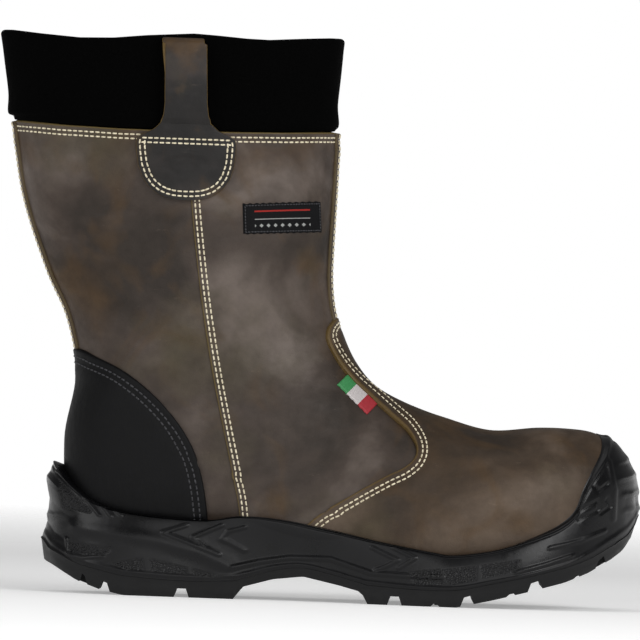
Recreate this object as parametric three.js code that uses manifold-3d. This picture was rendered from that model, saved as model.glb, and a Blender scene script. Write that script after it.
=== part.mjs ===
// A right pull-on work boot: a leather foot and shaft on a two-layer moulded sole, with a soft cuff.
// Millimetres, +X towards the toe, +Y towards the inner side of the foot, +Z up.
// The origin is on the floor under the middle of the heel's tread.
import * as THREE from "three";
import { mergeVertices } from "three/addons/utils/BufferGeometryUtils.js";
import Module from "manifold-3d";

const wasm = await Module();
wasm.setup();

// Main sizes.
const soleLength = 307; // back of the heel to the tip of the toe
const heelToOrigin = 54; // back of the heel to the middle of its tread
const soleWidth = 112; // sole at its widest, across the ball
const ballWidth = 96; // last across the ball
const instepHeight = 121; // floor to the top of the instep
const heelHeight = 32; // floor to the underside of the last at the heel
const shaftHeight = 241; // floor to the leather's top edge
const shaftWidth = 84; // across the leather's top edge
const cuffHeight = 46; // cuff above the leather's top edge

// Thicknesses, gaps and small sizes.
const upperWall = 3; // leather with its lining
const insoleThickness = 4.2;
const panelStep = 1.2; // front panel of the shaft over the back panel
const vampThickness = 1.8;
const counterThickness = 2;
const stripThickness = 1.2;
const stripWidth = 13;
const strapThickness = 1.9;
const labelThickness = 0.9;
const cuffThickness = 4.5;
const cuffTuck = 12; // cuff hidden inside the leather's top
const bandThickness = 5.6; // rim of the moulded cup outside the last
const ribHeight = 1.2;
const lugDepth = 4.5;
const treadBevel = 1.6; // tread narrows by this much towards the floor
const gap = 0.3;

// How finely the curved forms are divided.
const sectionsPerRow = 1.3;
const pointsAround = 24;
const outlineSteps = 2;

// A table with named columns: the names once, then a row of numbers for each line of it.
function table(names, rows) {
  const keys = names.split(" ");
  return rows.map((row) => Object.fromEntries(keys.map((key, i) => [key, row[i]])));
}

// Sections of the last, each from a front or top point to a back or bottom point.
// Along is a share of soleLength from the heel's back, widths are shares of the named width.
// Widest is where the section is widest, from back to front; the powers round its two ends.
const footSections = table("frontAlong frontUp backAlong backUp outer inner widest front back", [
  [0.98, 0.455, 0.98, 1.72, 0, 0, 0.5, 2, 2],
  [0.974, 0.537, 0.974, 1.44, 0.11, 0.2, 0.5, 2.2, 2.4],
  [0.961, 0.624, 0.957, 1.22, 0.2, 0.29, 0.45, 2.3, 3],
  [0.942, 0.694, 0.94, 1.07, 0.27, 0.355, 0.42, 2.3, 3.2],
  [0.914, 0.729, 0.916, 0.93, 0.335, 0.405, 0.4, 2.3, 3.3],
  [0.878, 0.74, 0.878, 0.8, 0.4, 0.445, 0.38, 2.3, 3.5],
  [0.826, 0.74, 0.826, 0.67, 0.465, 0.48, 0.35, 2.2, 3.8],
  [0.745, 0.723, 0.745, 0.578, 0.51, 0.49, 0.32, 2.1, 4],
  [0.665, 0.772, 0.663, 0.547, 0.505, 0.465, 0.3, 2, 4],
  [0.601, 0.825, 0.579, 0.563, 0.475, 0.43, 0.3, 2, 4],
  [0.546, 0.901, 0.487, 0.64, 0.44, 0.4, 0.3, 2, 4],
  [0.51, 1, 0.383, 0.766, 0.415, 0.385, 0.3, 2, 3.6],
]);
// Sections that fan round the heel: front in shares of shaftHeight, back in shares of heelHeight.
const heelSections = table("frontAlong frontUp backAlong backUp outer inner widest front back", [
  [0.486, 0.56, 0.269, 0.906, 0.4, 0.385, 0.32, 2, 3.2],
  [0.471, 0.622, 0.136, 1, 0.395, 0.385, 0.34, 2, 2.8],
  [0.465, 0.685, 0.057, 1.375, 0.39, 0.385, 0.38, 2, 2.4],
]);
const shaftSections = table("frontAlong frontUp backAlong backUp outer inner widest front back", [
  [0.465, 0.747, 0.04, 0.324, 0.445, 0.44, 0.42, 2, 2.2],
  [0.466, 0.797, 0.055, 0.461, 0.445, 0.44, 0.46, 2, 2.1],
  [0.467, 0.842, 0.035, 0.585, 0.45, 0.45, 0.5, 2, 2],
  [0.468, 0.888, -0.003, 0.689, 0.46, 0.46, 0.5, 2, 2],
  [0.469, 0.942, -0.046, 0.842, 0.48, 0.48, 0.5, 2, 2],
  [0.47, 1, -0.07, 1, 0.5, 0.5, 0.5, 2, 2],
]);
// Sections above the leather's edge, with heights as shares of cuffHeight above it.
const cuffSections = table("frontAlong frontUp backAlong backUp outer inner widest front back", [
  [0.48, 0.16, -0.087, 0.16, 0.51, 0.51, 0.5, 2, 2],
  [0.491, 1.02, -0.109, 1.02, 0.52, 0.52, 0.5, 2, 2],
  [0.494, 1.3, -0.115, 1.3, 0.52, 0.52, 0.5, 2, 2],
]);

// The sole seen from above, in shares of soleLength and soleWidth.
const soleOutline = table("along outer inner", [
  [0, 0, 0],
  [0.012, 0.143, 0.143],
  [0.04, 0.241, 0.241],
  [0.09, 0.308, 0.304],
  [0.16, 0.344, 0.335],
  [0.26, 0.357, 0.339],
  [0.36, 0.366, 0.326],
  [0.46, 0.393, 0.321],
  [0.56, 0.446, 0.375],
  [0.65, 0.491, 0.446],
  [0.73, 0.509, 0.482],
  [0.81, 0.487, 0.482],
  [0.88, 0.415, 0.455],
  [0.94, 0.295, 0.384],
  [0.98, 0.152, 0.277],
  [1, -0.0625, 0.0625],
]);
// The tread's underside and its parting line with the cup, in shares of heelHeight.
const treadProfile = table("along ground parting", [
  [0, 0.5, 0.88],
  [0.015, 0.44, 0.71],
  [0.06, 0.21, 0.5],
  [0.1, 0.08, 0.4],
  [0.14, 0, 0.32],
  [0.24, 0, 0.27],
  [0.326, 0, 0.3],
  [0.34, 0.2, 0.34],
  [0.39, 0.34, 0.48],
  [0.44, 0.4, 0.54],
  [0.5, 0.28, 0.43],
  [0.537, 0.19, 0.34],
  [0.548, 0, 0.31],
  [0.627, 0, 0.27],
  [0.696, 0, 0.28],
  [0.76, 0.14, 0.41],
  [0.82, 0.29, 0.54],
  [0.88, 0.45, 0.7],
  [0.92, 0.61, 0.86],
  [0.96, 0.84, 1.09],
  [0.98, 0.98, 1.23],
  [0.993, 1.17, 1.4],
  [1, 1.38, 1.56],
]);
// How far the cup's side swells from its parting line up to its edge, in millimetres, and how much
// more it does at the back of the heel, where a thick shoulder stands out under its edge.
const sideSwell = table("up out heel", [
  [0, -0.6, 0.2],
  [0.07, 0.5, -2.1],
  [0.2, 0, -2.4],
  [0.36, -0.7, -0.5],
  [0.54, 0.6, 1.6],
  [0.7, -0.3, 5.3],
  [0.86, -0.2, 4.9],
  [0.94, 0.5, 2.5],
  [1, 0, -0.7],
]);
const heelSwellEnd = 0.09; // share of soleLength at which the heel's shoulder has faded out

// Edges seen from the side: along in shares of soleLength, up in shares of the named height.
const cupEdge = table("along up", [
  [-0.05, 0.58],
  [0.021, 0.58],
  [0.037, 0.526],
  [0.053, 0.468],
  [0.079, 0.406],
  [0.105, 0.374],
  [0.13, 0.355],
  [0.198, 0.336],
  [0.279, 0.33],
  [0.332, 0.351],
  [0.399, 0.345],
  [0.483, 0.31],
  [0.568, 0.266],
  [0.652, 0.231],
  [0.694, 0.221],
  [0.77, 0.254],
  [0.836, 0.323],
  [0.87, 0.373],
  [0.891, 0.43],
  [0.902, 0.51],
  [0.916, 0.59],
  [0.93, 0.665],
  [0.933, 0.715],
  [0.929, 0.748],
  [0.9235, 0.765],
  [0.9235, 0.95],
  [1.1, 0.95],
]);
const vampEdge = table("along up", [
  [0.52, 1.23],
  [0.484, 1.213],
  [0.467, 1.173],
  [0.462, 1.125],
  [0.468, 1.075],
  [0.487, 0.997],
  [0.514, 0.919],
  [0.554, 0.832],
  [0.581, 0.776],
  [0.605, 0.725],
  [0.621, 0.665],
  [0.62, 0.615],
  [0.603, 0.573],
  [0.573, 0.535],
  [0.518, 0.455],
  [0.457, 0.353],
  [0.4, -0.1],
  [1.1, -0.1],
  [1.1, 1.23],
]);
const counterEdge = table("along up", [
  [-0.1, 1.043],
  [0.035, 1.043],
  [0.088, 0.998],
  [0.139, 0.934],
  [0.191, 0.829],
  [0.235, 0.697],
  [0.262, 0.554],
  [0.279, 0.33],
  [0.285, -0.1],
  [-0.1, -0.1],
]);
const sideSeam = table("along up", [
  [0.226, 1.5],
  [0.226, 0.95],
  [0.233, 0.841],
  [0.243, 0.739],
  [0.258, 0.612],
  [0.277, 0.484],
  [0.3, 0.357],
  [0.32, 0.251],
  [0.332, 0.176],
  [0.345, -0.1],
  [1.1, -0.1],
  [1.1, 1.5],
]);
// The strap widens from its loop into a rounded tab, in shares of strapWidth about its middle line.
const strapWidth = 22;
const strapAlong = 0.22; // middle of the strap, a share of soleLength
const strapHalf = table("across up", [
  [0.5, 0.98],
  [0.5, 0.2],
  [0.54, 0.06],
  [0.66, -0.06],
  [1.02, -0.13],
  [1.14, -0.2],
  [1.15, -0.44],
  [1.02, -0.62],
  [0.74, -0.76],
  [0.34, -0.82],
]);
const loopStart = 0.1; // the rear layer's widths are those above this height
const strapOutline = [...strapHalf, ...strapHalf.map((row) => ({ ...row, across: -row.across })).reverse()];
const strapLean = 0.035; // sideways run of the strap for each millimetre that it falls
// The cuff's slack top edge, its rise above or below cuffHeight in millimetres.
const cuffEdge = table("along rise", [
  [-0.13, 1.6],
  [-0.04, -0.6],
  [0.03, -2.2],
  [0.15, 0],
  [0.23, 1.6],
  [0.32, 0],
  [0.42, 1.6],
  [0.53, 2.6],
]);

// Ribs moulded on the cup's side, in shares of soleLength and heelHeight.
const ribWidth = 1.8;
const ribMargin = 2.5; // the ribs stop this far below the cup's edge
const sideRibs = table("fromAlong fromUp toAlong toUp", [
  [0.043, 1.9, 0.09, 1.42],
  [0.09, 1.42, 0.15, 1.18],
  [0.205, 1.03, 0.244, 1.14],
  [0.205, 1.03, 0.309, 0.72],
  [0.254, 0.97, 0.302, 1.15],
  [0.254, 0.97, 0.31, 0.8],
  [0.598, 0.72, 0.555, 0.9],
  [0.598, 0.72, 0.561, 0.56],
  [0.628, 0.74, 0.59, 0.88],
  [0.628, 0.74, 0.6, 0.6],
  [0.85, 1, 0.942, 1.29],
  [0.95, 1.76, 0.985, 1.7],
  [0.948, 2.08, 0.98, 2.02],
  [0.945, 2.38, 0.97, 2.32],
]);
// Grooves across the tread, in shares of soleLength and lugDepth: at its edges, and through its middle row.
const edgeGrooves = table("from to depth", [
  [0.07, 0.079, 1],
  [0.104, 0.117, 1],
  [0.229, 0.249, 1],
  [0.585, 0.604, 1],
  [0.657, 0.667, 0.35],
  [0.707, 0.724, 1],
  [0.783, 0.793, 0.35],
  [0.818, 0.838, 1],
  [0.893, 0.901, 0.35],
  [0.93, 0.944, 1],
]);
const middleGrooves = table("from to depth", [
  [0.105, 0.118, 1],
  [0.229, 0.249, 1],
  [0.585, 0.604, 1],
  [0.645, 0.66, 1],
  [0.707, 0.724, 1],
  [0.76, 0.775, 1],
  [0.818, 0.838, 1],
  [0.87, 0.885, 1],
]);
const middleRowWidth = 30;
const channelWidth = 3.5;
const channelDepth = 3.6;
const channelRoof = 1.4; // least rubber left over a channel
const channelRows = treadProfile.filter((row) => row.along > 0.05 && row.along < 0.95);
const grooveFlare = 0.8; // a groove widens by this much each way towards the floor
const treadLip = 0.6; // bead along the tread's upper edge

// Places of the small sewn pieces.
const labelPlace = { along: 0.383, level: 0.813 * shaftHeight, length: 39, height: 15.5, tilt: 3.9 };
const tagPlace = { along: 0.519, level: 0.876 * instepHeight, length: 22, height: 7.2, tilt: -43 };
const coreFar = 200; // cutting prisms reach this far past the boot

const inX = (along) => along * soleLength - heelToOrigin;

// Smooth value of one column of a table at a fractional row.
function smoothAt(rows, column, t) {
  const last = rows.length - 1;
  const i = Math.min(Math.floor(t), last - 1);
  const f = t - i;
  const at = (k) => rows[Math.max(0, Math.min(last, k))][column];
  const [a, b, c, d] = [at(i - 1), at(i), at(i + 1), at(i + 2)];
  return b + 0.5 * f * (c - a + f * (2 * a - 5 * b + 4 * c - d + f * (3 * (b - c) + d - a)));
}

// Straight interpolation of one column by another that rises.
function valueAt(rows, key, column, x) {
  const after = rows.findIndex((row) => row[key] >= x);
  if (after === 0) return rows[0][column];
  if (after < 0) return rows[rows.length - 1][column];
  const [a, b] = [rows[after - 1], rows[after]];
  return a[column] + ((x - a[key]) / (b[key] - a[key])) * (b[column] - a[column]);
}

const alongAt = (x) => (x + heelToOrigin) / soleLength;
const groundAt = (x) => valueAt(treadProfile, "along", "ground", alongAt(x)) * heelHeight;
const partingAt = (x) => valueAt(treadProfile, "along", "parting", alongAt(x)) * heelHeight;

// A manifold solid from points and triangles, turned to face outwards.
function solidFrom(points, triangles) {
  const geometry = new THREE.BufferGeometry().setAttribute(
    "position",
    new THREE.BufferAttribute(new Float32Array(points.flat()), 3),
  );
  geometry.setIndex(triangles.flat());
  return solidOf(geometry);
}

function solidOf(geometry) {
  geometry.deleteAttribute("normal");
  geometry.deleteAttribute("uv");
  const merged = mergeVertices(geometry, 1e-3);
  const vertProperties = merged.attributes.position.array;
  const corner = (i) => new THREE.Vector3().fromArray(vertProperties, 3 * i);
  const kept = [];
  let volume = 0;
  for (let i = 0; i < merged.index.count; i += 3) {
    const [a, b, c] = [0, 1, 2].map((k) => merged.index.getX(i + k));
    if (a === b || b === c || c === a) continue;
    volume += corner(a).dot(corner(b).cross(corner(c)));
    kept.push([a, b, c]);
  }
  const facing = volume < 0 ? kept.map(([a, b, c]) => [a, c, b]) : kept;
  const triVerts = new Uint32Array(facing.flat());
  return new wasm.Manifold(new wasm.Mesh({ numProp: 3, vertProperties, triVerts }));
}

// Each table row of the last in millimetres, and one smooth section between two rows.
function placed(rows, frontBase, frontScale, backBase, backScale, width) {
  return rows.map((row) => ({
    ...row,
    frontX: inX(row.frontAlong),
    frontZ: frontBase + row.frontUp * frontScale,
    backX: inX(row.backAlong),
    backZ: backBase + row.backUp * backScale,
    outer: row.outer * width,
    inner: row.inner * width,
  }));
}

const lastRows = [
  ...placed(footSections, 0, instepHeight, 0, heelHeight, ballWidth),
  ...placed(heelSections, 0, shaftHeight, 0, heelHeight, ballWidth),
  ...placed(shaftSections, 0, shaftHeight, 0, shaftHeight, shaftWidth),
  ...placed(cuffSections, shaftHeight, cuffHeight, shaftHeight, cuffHeight, shaftWidth),
];
lastRows[0].backZ = lastRows[0].frontZ;
const heelRow = footSections.length + 1; // the last section that ends under the foot
const shaftStart = footSections.length + heelSections.length;

function lastPoint(t, turn) {
  const row = {};
  for (const column of ["frontX", "frontZ", "backX", "backZ", "outer", "inner", "widest", "front", "back"])
    row[column] = smoothAt(lastRows, column, t);
  const [c, s] = [Math.cos(turn), Math.sin(turn)];
  const power = 2 / (c >= 0 ? row.front : row.back);
  const reach = c >= 0 ? 1 - row.widest : -row.widest;
  const share = row.widest + reach * Math.abs(c) ** power;
  const y = Math.abs(s) ** power * (s > 0 ? -row.outer : row.inner);
  return new THREE.Vector3(
    row.backX + (row.frontX - row.backX) * share,
    y,
    row.backZ + (row.frontZ - row.backZ) * share,
  );
}

function lastNormal(t, turn) {
  const end = lastRows.length - 1;
  if (t <= 0) return new THREE.Vector3(1, 0, 0);
  const step = 0.02;
  const along = lastPoint(Math.min(end, t + step), turn).sub(lastPoint(Math.max(0, t - step), turn));
  const around = lastPoint(t, turn + step).sub(lastPoint(t, turn - step));
  const normal = along.cross(around).normalize();
  const middle = lastPoint(t, 0).add(lastPoint(t, Math.PI)).multiplyScalar(0.5);
  return normal.dot(lastPoint(t, turn).sub(middle)) < 0 ? normal.negate() : normal;
}

// The last grown by an offset along its own normals, closed at both ends.
// A part of it starts at a later row, at the same sections as the whole.
function form(offset, firstRow = 0) {
  const end = lastRows.length - 1;
  const steps = Math.round(end * sectionsPerRow);
  const stations = [];
  for (let i = 0; i <= steps; i++) if ((end * i) / steps >= firstRow) stations.push((end * i) / steps);
  const rings = stations.map((t) => {
    const turns = Array.from({ length: pointsAround }, (_, j) => (2 * Math.PI * j) / pointsAround);
    return turns.map((turn) => lastPoint(t, turn).addScaledVector(lastNormal(t, turn), offset).toArray());
  });
  const points = rings.flat();
  const centre = (ring) => [0, 1, 2].map((k) => ring.reduce((sum, p) => sum + p[k], 0) / pointsAround);
  const first = points.push(centre(rings[0])) - 1;
  const final = points.push(centre(rings[rings.length - 1])) - 1;
  const top = (rings.length - 1) * pointsAround;
  const triangles = [];
  for (let j = 0; j < pointsAround; j++) {
    const next = (j + 1) % pointsAround;
    triangles.push([first, next, j], [final, top + j, top + next]);
    for (let low = 0; low < top; low += pointsAround) {
      const [a, b] = [low + j, low + next];
      triangles.push([a, b, b + pointsAround], [a, b + pointsAround, a + pointsAround]);
    }
  }
  return solidFrom(points, triangles);
}

// A side-view outline in millimetres, moved outwards by an amount.
function grown(points, amount) {
  if (!amount) return points;
  const count = points.length;
  let area = 0;
  points.forEach(([x, z], i) => {
    const [nextX, nextZ] = points[(i + 1) % count];
    area += x * nextZ - nextX * z;
  });
  const side = Math.sign(area);
  return points.map(([x, z], i) => {
    const [beforeX, beforeZ] = points[(i + count - 1) % count];
    const [nextX, nextZ] = points[(i + 1) % count];
    const run = new THREE.Vector2(nextX - beforeX, nextZ - beforeZ).normalize();
    return [x + side * run.y * amount, z - side * run.x * amount];
  });
}

// A side-view outline pushed straight through the boot between two places across it.
function sidePrism(points, amount = 0, fromY = -coreFar, toY = coreFar) {
  const shape = new THREE.Shape(grown(points, amount).map(([x, z]) => new THREE.Vector2(x, z)));
  const geometry = new THREE.ExtrudeGeometry(shape, { depth: toY - fromY, bevelEnabled: false });
  geometry.rotateX(Math.PI / 2);
  geometry.translate(0, toY, 0);
  return solidOf(geometry);
}

const edgePoints = (rows, height) => rows.map((row) => [inX(row.along), row.up * height]);

// The underside of the last along its middle, from heel to toe.
function featherRows() {
  const rows = [];
  for (let t = heelRow; t >= 1; t -= 0.5)
    rows.push({ x: smoothAt(lastRows, "backX", t), z: smoothAt(lastRows, "backZ", t) });
  return rows;
}

// The line under the foot at which the wall stops and the insole takes over.
function belowFeather(rise) {
  const line = featherRows().map(({ x, z }) => [x, z + rise]);
  const [heel, toe] = [line[0], line[line.length - 1]];
  return sidePrism([
    [-coreFar, heel[1]],
    ...line,
    [coreFar * 2, toe[1]],
    [coreFar * 2, -coreFar],
    [-coreFar, -coreFar],
  ]);
}

// The front panel makes a step over the back one, so each later piece lies over both.
const seamPoints = edgePoints(sideSeam, shaftHeight);
const dressed = (grow) => form(grow).add(form(panelStep + grow).intersect(sidePrism(seamPoints, grow)));
const clear = dressed(gap);
const aboveLeather = (rise) =>
  sidePrism([
    [-coreFar, shaftHeight + rise],
    [coreFar * 2, shaftHeight + rise],
    [coreFar * 2, shaftHeight + coreFar],
    [-coreFar, shaftHeight + coreFar],
  ]);

const upper = dressed(0)
  .subtract(form(-upperWall))
  .subtract(belowFeather(insoleThickness + gap))
  .subtract(aboveLeather(0));
const insole = form(0).intersect(belowFeather(insoleThickness));

// Sewn overlays on the foot.
const vampPoints = edgePoints(vampEdge, instepHeight);
const counterPoints = edgePoints(counterEdge, instepHeight);
const vampOut = panelStep + gap + vampThickness;
const counterOut = gap + counterThickness;
const overlay = (out, points, grow) =>
  form(out + grow)
    .intersect(sidePrism(points, grow))
    .subtract(belowFeather(insoleThickness + gap - grow));
const vamp = overlay(vampOut, vampPoints, 0).subtract(clear);
const counter = overlay(counterOut, counterPoints, 0).subtract(clear);

// Strips over the shaft's front and back seams.
const stripTop = shaftHeight - gap;
function strip(out, bottom, fromX, toX) {
  const region = [
    [fromX, bottom],
    [toX, bottom],
    [toX, stripTop],
    [fromX, stripTop],
  ];
  return form(out).intersect(sidePrism(region, 0, -stripWidth / 2, stripWidth / 2)).subtract(clear);
}
const shaftMiddle = inX(strapAlong);
const frontBottom = vampEdge[1].up * instepHeight + 2 * gap;
const backBottom = counterEdge[1].up * instepHeight + 2 * gap;
const frontStrip = strip(panelStep + gap + stripThickness, frontBottom, shaftMiddle, coreFar).subtract(
  overlay(vampOut, vampPoints, gap),
);
const backStrip = strip(gap + stripThickness, backBottom, -coreFar, shaftMiddle);

// The cuff: a soft tube tucked into the leather's top.
const cuffOut = -upperWall - gap;
const cuffTopPoints = cuffEdge.map((row) => [inX(row.along), shaftHeight + cuffHeight + row.rise]);
const cuffRegion = [
  [-coreFar, cuffTopPoints[0][1]],
  ...cuffTopPoints,
  [coreFar, cuffTopPoints[cuffTopPoints.length - 1][1]],
  [coreFar, shaftHeight - cuffTuck],
  [-coreFar, shaftHeight - cuffTuck],
];
const cuff = form(cuffOut, shaftStart)
  .subtract(form(cuffOut - cuffThickness, shaftStart))
  .intersect(sidePrism(cuffRegion));

// Each pull strap: a round tab on the leather, and above it a loop of two layers that hangs free.
const strapOut = panelStep + gap + strapThickness;
const rearOut = cuffOut + gap + strapThickness;
function strapPoints(rows) {
  return rows.map((row) => {
    const z = shaftHeight + row.up * cuffHeight;
    const lean = (shaftHeight - z) * strapLean;
    return [inX(strapAlong) + lean + row.across * strapWidth, z];
  });
}
function loopPrism(low, high, fromY, toY) {
  const [fromX, toX] = [inX(strapAlong) - 2 * strapWidth, inX(strapAlong) + 2 * strapWidth];
  const region = [
    [fromX, shaftHeight + low],
    [toX, shaftHeight + low],
    [toX, shaftHeight + high],
    [fromX, shaftHeight + high],
  ];
  return sidePrism(region, 0, fromY, toY);
}
function pullStrap(fromY, toY) {
  const top = strapHalf[0].up * cuffHeight;
  const whole = sidePrism(strapPoints(strapOutline), 0, fromY, toY);
  const straightRows = strapOutline.filter((row) => row.up > loopStart);
  const straight = sidePrism(strapPoints(straightRows), 0, fromY, toY);
  const facing = form(strapOut).intersect(whole).subtract(clear);
  const loop = loopPrism(2 * gap, top, fromY, toY);
  const rear = form(rearOut).subtract(form(rearOut - strapThickness)).intersect(loop).intersect(straight);
  const fold = loopPrism(top - strapThickness, top, fromY, toY);
  const bend = form(strapOut).subtract(form(rearOut - strapThickness)).intersect(fold).intersect(whole);
  return facing.add(rear).add(bend);
}

// Small pieces sewn to the outer side.
function turnedRectangle({ along, level, length, height, tilt }) {
  const angle = THREE.MathUtils.degToRad(tilt);
  const middle = new THREE.Vector2(inX(along), level);
  return [
    [-0.5, -0.5],
    [0.5, -0.5],
    [0.5, 0.5],
    [-0.5, 0.5],
  ].map(([a, b]) =>
    new THREE.Vector2(a * length, b * height).rotateAround(new THREE.Vector2(), angle).add(middle).toArray(),
  );
}
const patch = (place) =>
  form(panelStep + gap + labelThickness)
    .intersect(sidePrism(turnedRectangle(place), 0, -coreFar, 0))
    .subtract(clear);
const label = patch(labelPlace);
const tag = patch(tagPlace).subtract(overlay(vampOut, vampPoints, gap));

// Points round the sole, the outer side from heel to toe and then the inner side back.
function outlineLoop() {
  const loop = soleOutline.map((row) => [inX(row.along), -row.outer * soleWidth]);
  const innerRows = soleOutline.slice(1, -1).reverse();
  loop.push(...innerRows.map((row) => [inX(row.along), row.inner * soleWidth]));
  const points = [];
  for (let i = 0; i < loop.length; i++) {
    const near = [-1, 0, 1, 2].map((k) => loop[(i + k + loop.length) % loop.length]);
    const rows = near.map(([x, y]) => ({ x, y }));
    for (let k = 0; k < outlineSteps; k++) {
      const t = 1 + k / outlineSteps;
      points.push(new THREE.Vector2(smoothAt(rows, "x", t), smoothAt(rows, "y", t)));
    }
  }
  return points.map((point, i) => {
    const before = points[(i + points.length - 1) % points.length];
    const after = points[(i + 1) % points.length];
    const run = after.clone().sub(before).normalize();
    return { x: point.x, y: point.y, outX: run.y, outY: -run.x };
  });
}

// A closed solid from levels of points round the sole, each level's ends joined side to side.
function stacked(levels) {
  const count = levels[0].length;
  const points = levels.flat();
  const triangles = [];
  for (let i = 0; i + 1 < levels.length; i++)
    for (let j = 0; j < count; j++) {
      const [a, b] = [i * count + j, i * count + ((j + 1) % count)];
      triangles.push([a, b, b + count], [a, b + count, a + count]);
    }
  const top = (levels.length - 1) * count;
  for (let j = 0; j < count / 2; j++) {
    const [a, b] = [j, j + 1];
    const [c, d] = [(count - j) % count, count - j - 1];
    triangles.push([a, c, d], [a, d, b]);
    triangles.push([top + a, top + d, top + c], [top + a, top + b, top + d]);
  }
  return solidFrom(points, triangles);
}

// The cup: its side leaves the tread at the sole's outline and closes on the last at the cup's edge.
const loopPoints = outlineLoop();
const cupEdgePoints = edgePoints(cupEdge, instepHeight);
const [cupBack, cupFront] = [cupEdgePoints[0][0], cupEdgePoints[cupEdgePoints.length - 1][0]];
const cupRegion = [...cupEdgePoints, [cupFront, -coreFar], [cupBack, -coreFar]];
const heelCentre = inX(0.14); // the rays that find the last start between these two places
const toeCentre = inX(0.79);
const rayHeight = 12; // the rays start this far above the underside of the last
const lowestRay = -0.4; // radians
const steepestRay = 1.35;
const halvings = 16; // steps that narrow the ray down to the cup's edge
const blendFrom = 0.1; // share of the side's height at which it starts to close on the last
const blendTo = 0.95;
const lastMesh = (() => {
  const { vertProperties, triVerts } = form(0).getMesh();
  const geometry = new THREE.BufferGeometry();
  geometry.setAttribute("position", new THREE.BufferAttribute(vertProperties, 3));
  geometry.setIndex(new THREE.BufferAttribute(triVerts, 1));
  return new THREE.Mesh(geometry, new THREE.MeshBasicMaterial({ side: THREE.DoubleSide }));
})();

function distanceToLast(origin, direction) {
  const hits = new THREE.Raycaster(origin, direction).intersectObject(lastMesh);
  return hits.length ? hits[hits.length - 1].distance : 0;
}

function insideRegion(x, z) {
  let inside = false;
  cupRegion.forEach(([ax, az], i) => {
    const [bx, bz] = cupRegion[(i + 1) % cupRegion.length];
    if (az > z !== bz > z && x < ax + ((z - az) / (bz - az)) * (bx - ax)) inside = !inside;
  });
  return inside;
}

function cupColumn({ x, y, outX, outY }) {
  const startX = Math.max(heelCentre, Math.min(toeCentre, x));
  const featherZ = valueAt(featherRows(), "x", "z", startX);
  const origin = new THREE.Vector3(startX, 0, featherZ + rayHeight);
  const heading = new THREE.Vector2(x - startX, y).normalize();
  const aim = (rise) => {
    const level = Math.cos(rise);
    return new THREE.Vector3(heading.x * level, heading.y * level, Math.sin(rise));
  };
  const reach = (direction) => distanceToLast(origin, direction) + bandThickness;
  const along = (direction) => origin.clone().addScaledVector(direction, reach(direction));
  let [low, high] = [lowestRay, steepestRay];
  for (let i = 0; i < halvings; i++) {
    const middle = (low + high) / 2;
    const hit = along(aim(middle));
    if (insideRegion(hit.x, hit.z)) low = middle;
    else high = middle;
  }
  return { x, y, outX, outY, origin, aim, reach, edgeRise: low };
}

const columns = loopPoints.map(cupColumn);

function cupBlock(extra) {
  const levels = sideSwell.map(({ up, out, heel }) =>
    columns.map(({ x, y, outX, outY, origin, aim, reach, edgeRise }) => {
      const edgeWay = aim(edgeRise);
      const edge = origin.clone().addScaledVector(edgeWay, reach(edgeWay));
      const base = partingAt(x);
      const wall = new THREE.Vector3(x, y, base + up * (edge.z - base));
      const way = aim(Math.min(edgeRise, 0) + (edgeRise - Math.min(edgeRise, 0)) * up);
      const shell = origin.clone().addScaledVector(way, reach(way));
      const blend = THREE.MathUtils.smoothstep(up, blendFrom, blendTo);
      const point = wall.lerp(shell, blend);
      const direction = point.clone().sub(origin).normalize();
      const least = reach(direction);
      if (point.distanceTo(origin) < least) point.copy(origin).addScaledVector(direction, least);
      const outwards = new THREE.Vector3(outX, outY, 0).lerp(direction, blend).normalize();
      const heelShare = 1 - THREE.MathUtils.smoothstep(x, inX(0), inX(heelSwellEnd));
      return point.addScaledVector(outwards, out + heel * heelShare + extra).toArray();
    }),
  );
  return stacked(levels);
}

function ribPrism({ fromAlong, fromUp, toAlong, toUp }) {
  const from = new THREE.Vector2(inX(fromAlong), fromUp * heelHeight);
  const to = new THREE.Vector2(inX(toAlong), toUp * heelHeight);
  const run = to.clone().sub(from).normalize();
  const [aside, ahead] = [new THREE.Vector2(-run.y, run.x), run].map((v) => v.multiplyScalar(ribWidth / 2));
  const corners = [
    from.clone().sub(ahead).add(aside),
    to.clone().add(ahead).add(aside),
    to.clone().add(ahead).sub(aside),
    from.clone().sub(ahead).sub(aside),
  ];
  return sidePrism(corners.map((corner) => corner.toArray()));
}

const ribbed = cupBlock(ribHeight).intersect(sidePrism(cupRegion, -ribMargin));
const ribs = sideRibs.map((row) => ribbed.intersect(ribPrism(row)));
const cup = ribs
  .reduce((whole, rib) => whole.add(rib), cupBlock(0))
  .subtract(clear)
  .subtract(overlay(vampOut, vampPoints, gap))
  .subtract(overlay(counterOut, counterPoints, gap));

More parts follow.
